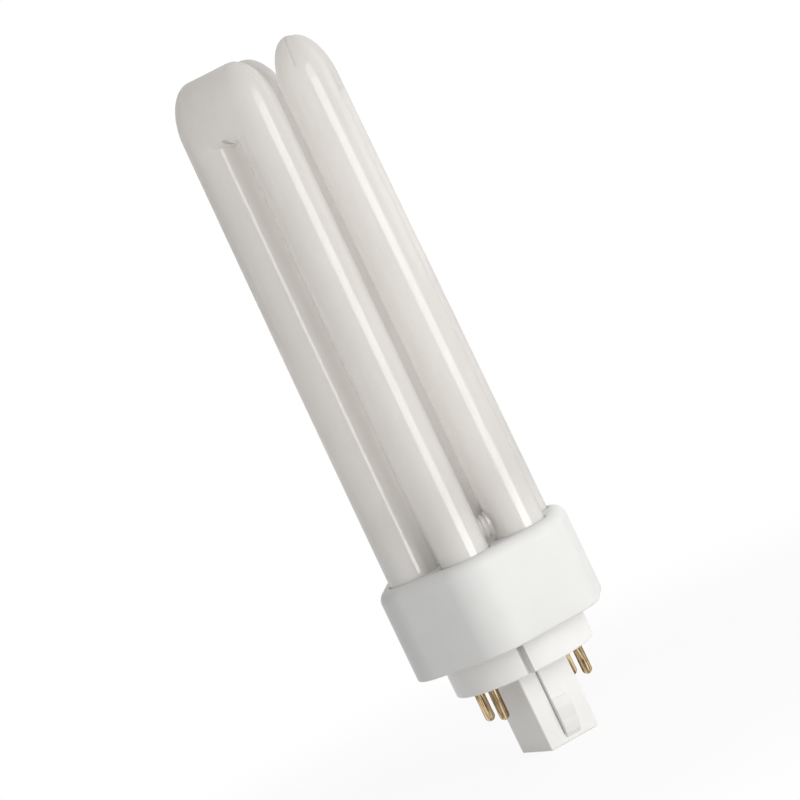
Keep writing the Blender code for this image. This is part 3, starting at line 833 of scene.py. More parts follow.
@dataclass
class DischargeTube(SubAssembly):
    """The sealed glass vessel: three bent tubes, and the two necks that make them one path."""

    leg_radius: float = 5.82 * MM
    leg_gap: float = 3.49 * MM
    leg_lean: float = 0.58 * MM
    collar_head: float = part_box("collar")[1].z
    top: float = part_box("discharge_tube")[1].z
    seal_foot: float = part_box("discharge_tube")[0].z
    seal_drop: float = 3.4 * MM
    seal_taper: float = 4.5 * MM
    seal_width: float = 8.6 * MM
    seal_thickness: float = 2.8 * MM
    seal_steps: int = 8
    dome_steps: int = 10
    dome_pole: float = 88.0
    ring_step: float = 1.0 * MM
    ring_count: int = 12
    ring_shares: tuple[float, ...] = (0.3, 0.5, 0.7, 0.9)
    quarter: int = 16
    fine: int = 12
    bend_crown: float = 12.0 * MM
    bend_ridge: float = 5.9 * MM
    crest_share: float = 0.012
    crest_steps: int = 18
    crotch_drop: float = 16.65 * MM
    crotch_fillet: float = 1.4 * MM
    ridge_drop: float = 1.1 * MM
    ridge_ease: float = 1.5
    ridge_least: float = 0.002 * MM
    ridge_steps: int = 8
    slot_end: float = 1.75 * MM
    slot_share: float = 0.86
    slot_ease: float = 0.4
    slot_steps: int = 10
    valley_end: float = 7.5 * MM
    valley_ease: float = 1.4
    valley_steps: int = 12
    seam_depth: float = 0.2 * MM
    seam_start: float = 8.6 * MM
    seam_full: float = 6.6 * MM
    pinch_ends: tuple[Point, Point] = ((-0.30 * MM, 4.95 * MM, 1.67 * MM), (0.30 * MM, 2.1 * MM, 0.1 * MM))
    lip_shift: float = 1.2 * MM
    lip_half: Point = (0.9, 0.55 * MM, 0.55 * MM)
    crease_half: Point = (1.15, 0.5 * MM, 0.6 * MM)
    crease_painted_shade: Point = (0.45 * MM, 0.85 * MM, 0.5)
    crease_steps: tuple[float, ...] = (-0.7, -0.2, 0.3, 0.8)
    neck_rise: float = 4.0 * MM
    neck_tall: float = 5.7 * MM
    neck_deep: float = 2.4 * MM
    neck_bead: float = 0.8 * MM
    neck_sunk: float = 0.35
    neck_groove: float = 0.7 * MM
    neck_groove_width: float = 0.5 * MM
    neck_flare: float = 0.4 * MM
    neck_spread: float = 1.6
    neck_root: float = 1.5 * MM
    neck_steps: int = 8
    neck_sides: int = 48
    neck_thin_powder_and_shade: Point = (2.4 * MM, 4.2 * MM, 0.45)
    necks: tuple[Flat, ...] = ((-90.0, 1.0 * MM), (30.0, -0.6 * MM))
    bends: tuple[Bend, ...] = (
        Bend(-150.0, 0.72 * MM, (LegEnd.SEAL, LegEnd.DOME)),
        Bend(-30.0, 0.05 * MM, (LegEnd.DOME, LegEnd.DOME)),
        Bend(90.0, 0.0, (LegEnd.DOME, LegEnd.SEAL)),
    )
    weld: float = 0.0005 * MM
    sharp: float = 60.0
    finish: MilkyGlass = field(default_factory=MilkyGlass)

    @property
    def foot(self) -> float:
        """Where the round part of the legs ends."""
        return self.seal_foot + self.seal_drop

    @property
    def crotch(self) -> float:
        """The lowest point of the web between a bend's legs."""
        return self.top - self.crotch_drop

    def leg_circle(self, height: float) -> float:
        """Distance of the legs' centres from the axis, which shrinks a little towards the top."""
        rise = self.top - self.collar_head
        return 2 * self.leg_radius + self.leg_gap - self.leg_lean * (height - self.collar_head) / rise

    def plane_distance(self, height: float, lean: float = 0.0) -> float:
        """Distance of a bend's middle plane from the axis, with how far its top leans in."""
        rise = max(height - self.collar_head, 0.0) / (self.top - self.collar_head)
        return self.leg_circle(height) * COS_30 - lean * rise**2

    def spot(self, bend: Bend, across: float, outwards: float, height: float) -> Vector:
        """A place across and outwards from a bend's middle, in the lamp's frame."""
        away = self.plane_distance(height, bend.lean) + outwards
        return heading(bend.direction) * away + heading(bend.direction + 90.0) * across + UP * height

    def leg_ring(self, height: float, wide: float = 1.0, thick: float = 1.0) -> list[Point]:
        """One leg's ring in the bend's frame: across, outwards, up, from its inner side round the front.

        Args:
            height: Where it lies.
            wide: Its width across the bend, as a share.
            thick: Its thickness, as a share.

        Returns:
            The points.
        """
        centre = self.leg_circle(height) / 2
        ring = []
        for step in range(4 * self.quarter):
            angle = math.radians(90.0 / self.quarter * step)
            across = centre - self.leg_radius * wide * math.cos(angle)
            ring.append((across, self.leg_radius * thick * math.sin(angle), height))
        return ring

    def inner_quarter(self, centre: float, radius: float, web: float) -> list[Flat]:
        """The front inner quarter of a section where a flat web joins the leg by a fillet.

        Args:
            centre: The leg centre's distance from the bend's middle.
            radius: The leg's radius there.
            web: Half the web's thickness, below 0 where only the fillet's ridge is left.

        Returns:
            Points from the middle, or the ridge, to the leg's front, evenly spaced.
        """
        fillet = self.crotch_fillet
        start = centre - math.sqrt((radius + fillet) ** 2 - (web + fillet) ** 2)
        touch = math.degrees(math.asin((web + fillet) / (radius + fillet)))
        first = -90.0
        outline = [(0.0, web)]
        if web < 0:
            first = math.degrees(math.asin(-(web + fillet) / fillet))
            outline = []
        outline += arc((start, web + fillet), fillet, first, -touch, self.fine)
        outline += arc((centre, 0.0), radius, 180.0 - touch, 90.0, 2 * self.fine)
        return evenly_spaced(outline, self.quarter)

    def valley_quarter(self, centre: float, radius: float, web: float) -> list[Flat]:
        """The front inner quarter of a section that is one shallow valley from leg to leg.

        Args:
            centre: The leg centre's distance from the bend's middle.
            radius: The leg's radius there.
            web: Half the thickness in the valley's middle.

        Returns:
            Points from the middle to the leg's front.
        """
        points = []
        for share in shares(self.quarter):
            dip = (radius - web) * (1.0 + math.cos(math.pi * share)) / 2
            points.append((centre * share, radius - dip))
        return points

    def opened(self, height: float) -> float:
        """How far the section is opened out: 1 where the legs are straight, near 0 at the bend's crest."""
        climbed = max(1.0 - (self.top - height) / self.bend_crown, 0.0)
        return max(math.sqrt(max(1.0 - climbed**2, 0.0)), self.crest_share)

    def seam(self, height: float) -> float:
        """How deep the mould's parting line is pressed into the outer side of a bend."""
        share = (self.seam_start - (self.top - height)) / (self.seam_start - self.seam_full)
        return self.seam_depth * min(max(share, 0.0), 1.0)

    def web_share(self, height: float) -> float:
        """Half the web's thickness as a share of the leg's radius.

        Args:
            height: Where it is asked for.

        Returns:
            The share, which follows a slot's round end, then a shallow valley.
        """
        climbed = height - self.crotch
        if climbed <= self.slot_end:
            return self.slot_share * (max(climbed, 0.0) / self.slot_end) ** self.slot_ease
        left = max(self.valley_end - climbed, 0.0) / (self.valley_end - self.slot_end)
        return 1.0 - (1.0 - self.slot_share) * left**self.valley_ease

    def section(self, height: float, web: float | None = None) -> list[Point]:
        """Half the section of a bend, from the middle of its front round one side to the middle of its rear.

        Args:
            height: Where it lies.
            web: Half the web's thickness, or nothing for the one that belongs to the height.

        Returns:
            The points.
        """
        opened = self.opened(height)
        radius = self.leg_radius * opened
        centre = self.bend_ridge + (self.leg_circle(height) / 2 - self.bend_ridge) * opened
        if web is None:
            web = radius * self.web_share(height)
        ease = smooth(min(max(height - self.crotch, 0.0) / self.slot_end, 1.0))
        inner = self.valley_quarter(centre, radius, web) if ease > 0 else []
        if ease < 1.0:
            legs = self.inner_quarter(centre, radius, web)
            inner = [
                (ax + (bx - ax) * ease, ay + (by - ay) * ease)
                for (ax, ay), (bx, by) in zip(legs, inner or legs)
            ]
        outer = arc((centre, 0.0), radius, 90.0, -90.0, 2 * self.quarter)
        outer[self.quarter] = (centre + radius - self.seam(height) * opened, 0.0)
        rear = [(across, -outwards) for across, outwards in reversed(inner)]
        return [(across, outwards, height) for across, outwards in inner + outer[1:-1] + rear]

    def end_rings(self, style: LegEnd) -> list[list[Point]]:
        """Rings of a leg's closed end, from its foot up.

        Args:
            style: A round dome, or a flat pinched seal.

        Returns:
            The rings.
        """
        if style is LegEnd.DOME:
            angles = [90.0 * step / self.dome_steps for step in reversed(range(self.dome_steps))]
            rings = []
            for angle in map(math.radians, (self.dome_pole, *angles)):
                height = self.foot + self.leg_radius * (1.0 - math.sin(angle))
                rings.append(self.leg_ring(height, math.cos(angle), math.cos(angle)))
            return rings
        wide = self.seal_width / (2 * self.leg_radius)
        thick = self.seal_thickness / (2 * self.leg_radius)
        rings = [self.leg_ring(self.seal_foot, wide, thick)]
        for share in shares(self.seal_steps):
            pressed = smooth(1.0 - share)
            height = self.foot + self.seal_taper * share
            rings.append(self.leg_ring(height, 1.0 + (wide - 1.0) * pressed, 1.0 + (thick - 1.0) * pressed))
        return rings

    def straight_heights(self) -> list[float]:
        """Heights of a leg's rings between its end and its bend: close at the necks, then wide apart."""
        close = [self.ring_step * step for step in range(self.ring_count)]
        wide = [share * (self.crotch - self.collar_head) for share in self.ring_shares]
        return [self.collar_head + climb for climb in close + wide]

    def bend_heights(self) -> list[float]:
        """Heights of a bend's sections, from its crotch through the slot and the valley to its crest.

        Returns:
            The heights.
        """
        climbs = [self.slot_end * share**2 for share in shares(self.slot_steps)]
        valley = self.valley_end - self.slot_end
        climbs += [self.slot_end + valley * share for share in shares(self.valley_steps)[1:]]
        heights = [self.crotch + climb for climb in climbs]
        start = math.degrees(math.asin(1.0 - (self.top - heights[-1]) / self.bend_crown))
        for share in shares(self.crest_steps)[1:]:
            angle = math.radians(start + (90.0 - start) * share)
            heights.append(self.top - self.bend_crown * (1.0 - math.sin(angle)))
        return heights

    def bent_half(self, bm: bmesh.types.BMesh, bend: Bend, side: float, style: LegEnd) -> None:
        """Adds one leg with its half of the bend.

        Args:
            bm: The bmesh that takes it.
            bend: The bend.
            side: -1 or 1, for the leg.
            style: How the leg ends.
        """

        def row(points: Sequence[Point]) -> list[bmesh.types.BMVert]:
            """Adds a ring's points, which are given in the bend's frame."""
            return [bm.verts.new(self.spot(bend, side * x, y, height)) for x, y, height in points]

        rings = [row(points) for points in self.end_rings(style)]
        rings += [row(self.leg_ring(height)) for height in self.straight_heights()]
        for share in shares(self.ridge_steps)[1:]:
            left = 1.0 - share
            web = -self.crotch_fillet * left**self.ridge_ease - self.ridge_least
            half = self.section(self.crotch - self.ridge_drop * left, web)
            rings.append(row(half[: 4 * self.quarter]))
        bm.faces.new(rings[0])
        for lower, upper in zip(rings, rings[1:]):
            bridge(bm, lower, upper)
        arcs = [row(self.section(height)) for height in self.bend_heights()]
        bridge(bm, rings[-1] + rings[-1][:1], arcs[0], closed=False)
        for lower, upper in zip(arcs, arcs[1:]):
            bridge(bm, lower, upper, closed=False)
        bm.faces.new(arcs[-1])

    def pinch(self, bend: Bend, shift: float = 0.0) -> Matrix:
        """The frame of a detail that runs into a bend's pinched crotch, a little askew.

        Args:
            bend: The bend.
            shift: How far the detail is shifted across the bend.

        Returns:
            The frame: lengthwise, where its ends are -1 and 1, then across, inwards, and its place.
        """
        foot, head = (
            self.spot(bend, across + shift, outwards, self.crotch + climb)
            for across, outwards, climb in self.pinch_ends
        )
        half = (head - foot) / 2
        length = half.normalized()
        along = heading(bend.direction + 90.0)
        width = (along - length * along.dot(length)).normalized()
        turn = Matrix((half, width, length.cross(width))).transposed().to_4x4()
        return Matrix.Translation((foot + head) / 2) @ turn

    def thin_powder_and_shade_spots(self) -> tuple[tuple, ...]:
        """Where the glass is painted darker: thin powder with painted shade between the legs at the necks,
        and painted shade in the pinched creases.

        Returns:
            Each place with its core, its edge and its share.
        """
        height = self.collar_head + self.neck_rise
        thin_and_shaded_spots = []
        # Thin powder at each fused neck, with painted shade between the legs around it.
        for direction, set_back in self.necks:
            middle = heading(direction) * (self.plane_distance(height) - set_back) + UP * height
            thin_and_shaded_spots.append((tuple(middle), *self.neck_thin_powder_and_shade))
        # Painted shade in the pinched crease under each bend's lip.
        for bend in self.bends:
            crease = self.pinch(bend)
            for step in self.crease_steps:
                thin_and_shaded_spots.append((tuple(crease @ Vector((step, 0.0, 0.0))), *self.crease_painted_shade))
        return tuple(thin_and_shaded_spots)

    def seams(self) -> tuple[tuple, ...]:
        """Each bend's middle plane at its crest: its direction and its distance from the axis."""
        height = self.top - self.bend_crown / 4
        return tuple(
            (tuple(heading(bend.direction)), self.plane_distance(height, bend.lean)) for bend in self.bends
        )

    def neck(self, direction: float, set_back: float) -> bpy.types.Object:
        """The fused neck between two legs of neighbouring bends, with its seam ring.

        Args:
            direction: The way that it faces, in degrees.
            set_back: How far it is set back towards the axis.

        Returns:
            The neck, as a separate object.
        """
        height = self.collar_head + self.neck_rise
        circle = self.leg_circle(height)
        ends = [heading(direction + turn) * circle + UP * height for turn in (-30.0, 30.0)]
        half = self.neck_profile((ends[1] - ends[0]).length / 2 - self.leg_radius)
        made = turned("neck", [(radius, -away) for radius, away in reversed(half)] + half, self.neck_sides)
        along = (ends[1] - ends[0]).normalized()
        turn = Matrix((UP, along.cross(UP), along)).transposed().to_4x4()
        flatten = Matrix.Diagonal((1.0, self.neck_deep / self.neck_tall, 1.0, 1.0))
        middle = (ends[0] + ends[1]) / 2 - heading(direction) * set_back
        made.data.transform(Matrix.Translation(middle) @ turn @ flatten)
        return made

    def neck_profile(self, half_gap: float) -> list[Flat]:
        """Half the neck's side view, from its seam bead to its end inside a leg.

        Args:
            half_gap: Half the gap between the legs.

        Returns:
            Pairs of radius and distance from the middle.
        """
        full, bead, sunk = self.neck_tall / 2, self.neck_bead / 2, self.neck_sunk
        points = []
        for share in shares(self.neck_steps // 2):
            points.append((full - sunk * self.neck_groove * share**2, bead * share))
        for share in shares(self.neck_steps)[1:]:
            depth = sunk * (1.0 - share) + (1.0 - sunk) * math.sin(math.pi * share)
            points.append((full - self.neck_groove * depth, bead + self.neck_groove_width * share))
        start = bead + self.neck_groove_width
        for share in shares(self.neck_steps)[1:]:
            points.append((full + self.neck_flare * share**2, start + (half_gap - start) * share))
        end = half_gap + self.neck_root
        return [*points, (full + self.neck_flare * self.neck_spread, end), (0.0, end)]

    def build(self) -> list[bpy.types.Object]:
        """Builds the glass vessel.

        Returns:
            The vessel.
        """
        parts, lips, creases = [], [], []
        for bend in self.bends:
            bm = bmesh.new()
            for side, style in zip((-1.0, 1.0), bend.ends):
                self.bent_half(bm, bend, side, style)
            bmesh.ops.remove_doubles(bm, verts=bm.verts, dist=self.weld)
            parts.append(piece_from("bend", bm))
            lips.append(ball("lip", self.pinch(bend, self.lip_shift), self.lip_half))
            creases.append(ball("crease", self.pinch(bend), self.crease_half))
        vessel = parts[0]
        necks = [self.neck(direction, set_back) for direction, set_back in self.necks]
        cut(vessel, [*parts[1:], *necks, *lips], "UNION")
        cut(vessel, creases, "DIFFERENCE")
        vessel.name = "glass_vessel"
        shade(vessel, self.sharp)
        finish = replace(self.finish, thin_and_shaded_spots=self.thin_powder_and_shade_spots(), seams=self.seams())
        return [self.dress(vessel, finish, Slot.GLASS, ["discharge_tube"])]


@dataclass
class Collar(SubAssembly):
    """The six-sided upper housing, pierced for the glass legs."""

    apothem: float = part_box("collar")[1].y
    corner: float = corner_within(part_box("collar")[1])
    foot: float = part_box("collar")[0].z
    head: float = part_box("collar")[1].z
    wall: float = 2.0 * MM
    top: float = 1.8 * MM
    shoulder: float = 2.8 * MM
    shoulder_steps: int = 12
    foot_edge: float = 0.5 * MM
    edge_steps: int = 4
    rebate: float = 2.6 * MM
    ledge: float = 0.8 * MM
    hole_radius: float = 6.12 * MM
    hole_edge: float = 0.35 * MM
    hole_sides: int = 64
    leg_circle: float = 15.13 * MM
    past: float = 2.0 * MM
    dent_x: float = 9.15 * MM
    dent_low: float = 32.3 * MM
    dent_high: float = 36.1 * MM
    dent_radius: float = 0.32 * MM
    dent_depth: float = 0.16 * MM
    dent_ease: float = 0.7
    dent_steps: int = 8
    dent_sides: int = 20
    sharp: float = 40.0
    finish: MouldedPlastic = field(default_factory=lambda: MouldedPlastic(name="collar_white_plastic"))

    def build(self) -> list[bpy.types.Object]:
        """Builds the collar.

        Returns:
            The collar.
        """
        edge, bend, steps = self.foot_edge, self.shoulder, self.edge_steps
        profile = [(edge - x, self.foot + edge + y) for x, y in arc((0.0, 0.0), edge, -90.0, 0.0, steps)]
        rounded = arc((0.0, 0.0), bend, 0.0, 90.0, self.shoulder_steps)
        profile += [(bend - x, self.head - bend + y) for x, y in rounded]
        collar = six_sided_body("collar_shell", self.apothem, self.corner, profile)
        cutters = []
        for name, inset, head in (
            ("hollow", self.wall, self.head - self.top),
            ("seat", self.wall - self.ledge, self.foot + self.rebate),
        ):
            profile = [(inset, self.foot - self.past), (inset, head)]
            cutters.append(six_sided_body(name, self.apothem, self.corner, profile))
        cutters += [self.leg_hole(number) for number in range(6)]
        cut(collar, [*cutters, self.dent()], "DIFFERENCE")
        shade(collar, self.sharp)
        return [self.dress(collar, self.finish, Slot.COLLAR, ["collar"])]

    def dent(self) -> bpy.types.Object:
        """The cutter of the small dent in the front face, near its right corner.

        Returns:
            The cutter.
        """
        low, tall = self.dent_low, self.dent_high - self.dent_low
        profile = [(0.0, low)]
        for share in shares(self.dent_steps)[1:-1]:
            radius = self.dent_radius * math.sin(math.pi * share) ** self.dent_ease
            profile.append((radius, low + tall * share))
        profile.append((0.0, self.dent_high))
        place = (self.dent_x, self.dent_depth - self.apothem - self.dent_radius)
        return turned("dent", profile, self.dent_sides, place)

    def leg_hole(self, number: int) -> bpy.types.Object:
        """The cutter of one leg's hole, which widens at its mouth.

        Args:
            number: Which leg it is for.

        Returns:
            The cutter.
        """
        angle = math.radians(60.0 * number)
        edge, radius = self.hole_edge, self.hole_radius
        low, head = self.head - self.top - self.past, self.head + self.past
        mouth = arc((0.0, 0.0), edge, 0.0, 90.0, self.edge_steps)
        profile = [(0.0, low), (radius, low)]
        profile += [(radius + edge - x, self.head - edge + y) for x, y in mouth]
        profile += [(radius + edge, head), (0.0, head)]
        place = (self.leg_circle * math.cos(angle), self.leg_circle * math.sin(angle))
        return turned(f"leg_hole_{number}", profile, self.hole_sides, place)


@dataclass
class BaseCap(SubAssembly):
    """The lower housing in one moulding: floor, boss with its keyway, plug and catch ribs."""

    collar_apothem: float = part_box("collar")[1].y
    collar_corner: float = corner_within(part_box("collar")[1])
    floor_apothem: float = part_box("base_cap")[1].y
    floor_top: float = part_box("base_cap")[1].z
    floor_thickness: float = 1.8 * MM
    boss_radius: float = 16.88 * MM
    boss_wall: float = 1.6 * MM
    boss_floor: float = 1.8 * MM
    boss_edge: float = 0.45 * MM
    boss_edge_steps: int = 5
    boss_sides: int = 128
    boss_hollow_sides: int = 96
    plug_length: float = 18.65 * MM
    plug_width: float = 13.1 * MM
    plug_depth: float = 16.1 * MM
    plug_draft: float = 0.05 * MM
    plug_wall: float = 1.5 * MM
    plug_end_wall: float = 1.6 * MM
    plug_edge: float = 0.4 * MM
    rib_width: float = 3.8 * MM
    rib_middle: float = 0.1 * MM
    rib_proud: float = 1.0 * MM
    rib_end: float = 2.0 * MM
    rib_edge: float = 0.18 * MM
    slit: float = 0.25 * MM
    slit_depth: float = 0.6 * MM
    nose_outline: tuple[Flat, ...] = (
        (0.7 * MM, 10.3 * MM),
        (1.6 * MM, 7.9 * MM),
        (1.6 * MM, 6.8 * MM),
        (1.2 * MM, 5.0 * MM),
        (1.2 * MM, 4.2 * MM),
        (0.0, 2.0 * MM),
    )
    nose_edge: float = 0.2 * MM
    nose_low_side: float = 0.22
    key_x: float = -6.1 * MM
    key_width: float = 1.55 * MM
    key_depth: float = 2.6 * MM
    key_wall: float = 1.2 * MM
    pin_span: float = 23.0 * MM
    pin_pitch: float = 8.0 * MM
    pin_hole: float = 1.475 * MM
    pin_hole_sides: int = 40
    past: float = 2.0 * MM
    sharp: float = 35.0
    finish: MouldedPlastic = field(
        default_factory=lambda: MouldedPlastic(
            name="base_white_plastic",
            colour=(0.885, 0.875, 0.855),
            shade=(0.86, 0.848, 0.825),
            gloss=0.36,
            grain_depth=0.003 * MM,
        )
    )

    @property
    def floor_under(self) -> float:
        """The underside of the floor that closes the collar."""
        return self.floor_top - self.floor_thickness

    @property
    def rib_crest(self) -> float:
        """How far the rib's outer face lies from the axis."""
        return self.plug_depth / 2 + self.rib_proud

    def rib(self, side: float) -> bpy.types.Object:
        """The catch rib down one narrow face of the plug.

        Args:
            side: -1 for the lamp's front, 1 for its rear.

        Returns:
            The rib.
        """
        face = self.plug_depth / 2 - self.plug_draft
        root, crest = face - self.plug_wall / 2, self.rib_crest
        head, foot = self.plug_length + self.boss_floor / 2, self.rib_end - self.rib_proud
        outline = ((root, head), (crest, head), (crest, self.rib_end), (face, foot), (root, foot))
        return side_profile("rib", outline, self.rib_width, self.rib_middle, side, self.rib_edge)

    def rib_slit(self, side: float) -> bpy.types.Object:
        """The cutter of the narrow slit along the rib's left foot.

        Args:
            side: -1 for the lamp's front, 1 for its rear.

        Returns:
            The cutter.
        """
        left = self.rib_middle - self.rib_width / 2 - self.slit / 2
        tall = self.plug_length - self.rib_end
        middle = (-side * left, side * (self.plug_depth / 2), self.rib_end + tall / 2)
        return rounded_box("rib_slit", (self.slit, 2 * self.slit_depth, tall), middle)

    def nose(self, side: float) -> bpy.types.Object:
        """The snap nose near the rib's foot, a wedge that rises from its left to its right.

        Args:
            side: -1 for the lamp's front, 1 for its rear.

        Returns:
            The nose.
        """
        crest = self.rib_crest
        root = crest - self.rib_proud / 2
        outline = [(crest + proud, height) for proud, height in self.nose_outline]
        outline = [(root, outline[0][1]), *outline, (root, outline[-1][1])]
        nose = side_profile("nose", outline, self.rib_width, self.rib_middle, side, self.nose_edge)
        for vert in nose.data.vertices:
            proud = side * vert.co.y - crest
            if proud > 0:
                share = (-side * vert.co.x - self.rib_middle) / self.rib_width + 0.5
                rise = self.nose_low_side + (1.0 - self.nose_low_side) * share
                vert.co.y = side * (crest + proud * rise)
        return nose

    def build(self) -> list[bpy.types.Object]:
        """Builds the base cap.

        Returns:
            The cap.
        """
        inset = self.collar_apothem - self.floor_apothem
        profile = [(inset, self.floor_under), (inset, self.floor_top)]
        cap = six_sided_body("base_moulding", self.collar_apothem, self.collar_corner, profile)
        low, edge = self.plug_length, self.boss_edge
        corner = [
            (self.boss_radius - edge + x, low + edge + y)
            for x, y in arc((0.0, 0.0), edge, -90.0, 0.0, self.boss_edge_steps)
        ]
        middle = self.floor_top - self.floor_thickness / 2
        profile = [(0.0, low), *corner, (self.boss_radius, middle), (0.0, middle)]
        boss = turned("boss", profile, self.boss_sides)
        tall = low + self.boss_floor / 2 + self.plug_edge
        size = (self.plug_width, self.plug_depth, tall)
        plug = rounded_box("plug", size, (0.0, 0.0, tall / 2), self.plug_edge, self.plug_draft)
        joined = [boss, plug]
        for side in (-1.0, 1.0):
            joined += [self.rib(side), self.nose(side)]
        cut(cap, joined, "UNION")
        cut(cap, self.hollows(), "DIFFERENCE")
        shade(cap, self.sharp)
        return [self.dress(cap, self.finish, Slot.BASE, ["base_cap"])]

    def hollows(self) -> list[bpy.types.Object]:
        """The cutters of the boss's hollow, the plug's hollow, the keyway and the pins' holes.

        Returns:
            The cutters.
        """
        past = self.past
        low, floor, head = self.plug_length, self.plug_length + self.boss_floor, self.floor_top + past
        inside = self.boss_radius - self.boss_wall
        profile = [(0.0, floor), (inside, floor), (inside, head), (0.0, head)]
        boss_hollow = turned("boss_hollow", profile, self.boss_hollow_sides)
        front = -math.sqrt(self.boss_radius**2 - self.key_x**2)
        reach = self.key_depth + self.key_wall
        size = (self.key_width + 2 * self.key_wall, reach + past, 4 * past + head - floor)
        post = rounded_box("key_post", size, (self.key_x, front + (reach - past) / 2, (floor + head) / 2))
        cut(boss_hollow, [post], "DIFFERENCE")
        size = (self.key_width, self.key_depth + past, self.floor_under - low + past)
        middle = (self.key_x, front + (self.key_depth - past) / 2, (self.floor_under + low - past) / 2)
        keyway = rounded_box("keyway", size, middle)
        depth = floor + past - self.plug_end_wall
        size = (self.plug_width - 2 * self.plug_wall, self.plug_depth - 2 * self.plug_wall, depth)
        middle = (0.0, 0.0, self.plug_end_wall + depth / 2)
        plug_hollow = rounded_box("plug_hollow", size, middle, slim=self.plug_draft)
        cutters = [boss_hollow, plug_hollow, keyway, self.rib_slit(-1.0), self.rib_slit(1.0)]
        hole = self.pin_hole
        profile = [(0.0, low - past), (hole, low - past), (hole, floor + past), (0.0, floor + past)]
        for number, place in enumerate(pin_places(self.pin_span, self.pin_pitch)):
            cutters.append(turned(f"pin_hole_{number}", profile, self.pin_hole_sides, place))
        return cutters


def pin_places(span: float, pitch: float) -> list[Flat]:
    """Where the four pins stand: each side's pair, one behind the other."""
    return [(x * span / 2, y * pitch / 2) for x in (-1, 1) for y in (-1, 1)]


@dataclass
class ContactPins(SubAssembly):
    """Four brass pins, turned from rod."""

    span: float = 23.0 * MM
    pitch: float = 8.0 * MM
    radius: float = 1.175 * MM
    flange_radius: float = 1.9 * MM
    flange: float = 0.9 * MM
    tail: float = 4.5 * MM
    bore: float = 0.75 * MM
    bore_depth: float = 3.6 * MM
    chamfer: float = 0.1 * MM
    tip_steps: int = 10
    sides: int = 48
    sharp: float = 40.0
    foot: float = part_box("contact_pin_1")[0].z
    head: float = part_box("contact_pin_1")[1].z
    finish: DrawnMetal = field(default_factory=lambda: DrawnMetal(name="pin_brass_finish"))

    def build(self) -> list[bpy.types.Object]:
        """Builds the pins.

        Returns:
            The four pins.
        """
        seat = self.head - self.tail - self.flange
        chamfer, radius, wide = self.chamfer, self.radius, self.flange_radius
        tip = arc((0.0, 0.0), radius, -90.0, 0.0, self.tip_steps)
        profile = [
            (0.0, self.foot),
            *((x, self.foot + radius + y) for x, y in tip[1:]),
            (radius, seat),
            (wide - chamfer, seat),
            (wide, seat + chamfer),
            (wide, seat + self.flange - chamfer),
            (wide - chamfer, seat + self.flange),
            (radius, seat + self.flange),
            (radius, self.head - chamfer),
            (radius - chamfer, self.head),
            (self.bore, self.head),
            (self.bore, self.head - self.bore_depth),
            (0.0, self.head - self.bore_depth),
        ]
        pins = []
        for number, place in enumerate(pin_places(self.span, self.pitch), start=1):
            pin = turned(f"brass_pin_{number}", profile, self.sides, place)
            shade(pin, self.sharp)
            pins.append(self.dress(pin, self.finish, Slot.PIN, [f"contact_pin_{number}"]))
        return pins


@dataclass
class InnerParts(SubAssembly):
    """The cement and the lead wires, which keep their CAD meshes."""

    cement: CastCement = field(default_factory=CastCement)
    wire: DrawnMetal = field(
        default_factory=lambda: DrawnMetal(
            name="wire_copper_finish", colour=(0.76, 0.56, 0.44), dark_reflection_and_tarnish=(0.42, 0.24, 0.15), gloss=0.28
        )
    )

    def build(self) -> list[bpy.types.Object]:
        """Dresses the cement and the wires.

        Returns:
            Their nodes.
        """
        cement = self.cement.material()
        wire = self.wire.material()
        pieces = []
        for name, node in sorted(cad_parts.items()):
            if name == "tube_cement" or name.startswith("lead_wire"):
                finish = cement if name == "tube_cement" else wire
                for slot in node.material_slots:
                    slot.material = finish
                if not node.material_slots:
                    node.data.materials.append(finish)
                pieces.append(node)
        return pieces


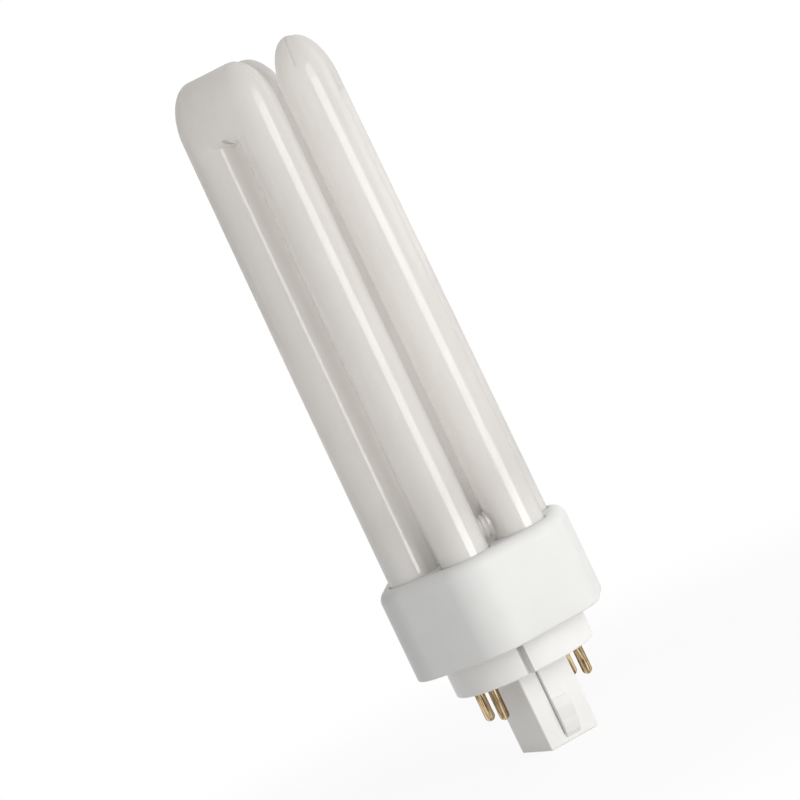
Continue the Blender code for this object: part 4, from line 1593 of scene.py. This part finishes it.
@dataclass
class Studio:
    """A white sweep in a pale room, with one tall softbox of two panels to the right of the camera."""

    floor_half: float = 3.0
    floor_parts: int = 8
    key_bearing: float = -75.0
    key_distance: float = 350.0 * MM
    key_width: float = 211.0 * MM
    key_panels: tuple[Point, ...] = ((4.0 * MM, 190.0 * MM, 0.50), (190.0 * MM, 325.0 * MM, 0.21))
    key_colour: Colour = (1.0, 0.995, 0.985)
    room: float = 0.68
    sweep: float = 1.05
    sweep_rise: Flat = (0.02, 0.28)
    sweep_tilt: float = 0.7
    lid_rise: Flat = (0.10, 0.90)
    lid_share: float = 0.5
    camera_bearing: float = -113.2
    finish: StudioFloor = field(default_factory=StudioFloor)

    def build_floor(self) -> None:
        """Lays the floor under the plug's end."""
        bm = bmesh.new()
        parts = self.floor_parts
        bmesh.ops.create_grid(bm, x_segments=parts, y_segments=parts, size=self.floor_half)
        floor = piece_from("studio_floor", bm)
        if floor.data.polygons[0].normal.z < 0:
            floor.data.flip_normals()
        floor.data.materials.append(self.finish.material())

    def build_key(self) -> None:
        """Hangs the softbox, whose upper panel is the weaker one."""
        angle = math.radians(self.key_bearing)
        for number, (low, high, watts) in enumerate(self.key_panels, start=1):
            light = bpy.data.lights.new(f"key_softbox_{number}", "AREA")
            light.shape = "RECTANGLE"
            light.size = self.key_width
            light.size_y = high - low
            light.energy = watts
            light.color = self.key_colour
            lamp = bpy.data.objects.new(light.name, light)
            bpy.context.scene.collection.objects.link(lamp)
            across = self.key_distance * math.cos(angle)
            lamp.location = (across, self.key_distance * math.sin(angle), (low + high) / 2)
            lamp.rotation_euler = (math.radians(90.0), 0.0, angle + math.radians(90.0))
            lamp.visible_camera = False

    def build_room(self) -> None:
        """Sets the world: plain white where it is seen, else a pale room, whitest behind the lamp."""
        world = bpy.data.worlds.new("pale_room")
        world.use_nodes = True
        bpy.context.scene.world = world
        bench = NodeBench(world.node_tree)
        way = bench.add("ShaderNodeTexCoord", output="Generated")
        ahead, across = (
            bench.measured("DOT_PRODUCT", way, tuple(heading(self.camera_bearing + turn)))
            for turn in (0.0, 90.0)
        )
        behind = bench.between(0.0 - ahead, *self.sweep_rise)
        sweep = self.sweep * (1.0 + across * self.sweep_tilt)
        lid = bench.between(bench.height(way), *self.lid_rise)
        level = (self.room + behind * (sweep - self.room)) * (1.0 - lid * self.lid_share)
        camera = bench.add("ShaderNodeLightPath", output="Is Camera Ray")
        strength = bench.maths("MAXIMUM", level, camera)
        background = bench.add("ShaderNodeBackground", None, {"Color": (1.0, 1.0, 1.0), "Strength": strength})
        bench.add("ShaderNodeOutputWorld", None, {"Surface": background})

    def build(self) -> None:
        """Builds the floor, the softbox and the room."""
        self.build_floor()
        self.build_key()
        self.build_room()


@dataclass
class PhotoCamera:
    """The camera, at the photograph's viewing angle: the lamp leans to the left in its frame."""

    bearing: float = 23.2
    rise: float = 3.803
    roll: float = -25.482
    distance: float = 852.896 * MM
    aim_height: float = 84.656 * MM
    aim_right: float = 0.193 * MM
    focal_pixels: float = 3815.756
    sensor: float = 36.0
    near: float = 10.0 * MM

    def build(self) -> None:
        """Sets up the camera."""
        bearing, rise, roll = (math.radians(angle) for angle in (self.bearing, self.rise, self.roll))
        flat = math.cos(rise)
        back = Vector((-math.sin(bearing) * flat, -math.cos(bearing) * flat, math.sin(rise)))
        level = Vector((math.cos(bearing), -math.sin(bearing), 0.0))
        upright = back.cross(level)
        right = level * math.cos(roll) + upright * math.sin(roll)
        up = upright * math.cos(roll) - level * math.sin(roll)
        place = UP * self.aim_height + level * self.aim_right + back * self.distance
        data = bpy.data.cameras.new("photo_camera")
        data.sensor_width = self.sensor
        data.lens = self.focal_pixels / PHOTO_PIXELS * self.sensor
        data.clip_start = self.near
        camera = bpy.data.objects.new("photo_camera", data)
        bpy.context.scene.collection.objects.link(camera)
        camera.matrix_world = Matrix.Translation(place) @ Matrix((right, up, back)).transposed().to_4x4()
        bpy.context.scene.camera = camera


def main() -> None:
    """Builds the lamp's sub-assemblies, then the studio and the camera."""
    logging.basicConfig(level=logging.INFO, format="%(message)s")
    bpy.context.scene.view_settings.view_transform = "Standard"
    for group in (DischargeTube(), Collar(), BaseCap(), ContactPins(), InnerParts()):
        for piece in group.build():
            LOG.info("%s: %s, %d faces", type(group).__name__, piece.name, len(piece.data.polygons))
    Studio().build()
    PhotoCamera().build()


if __name__ == "__main__":
    main()
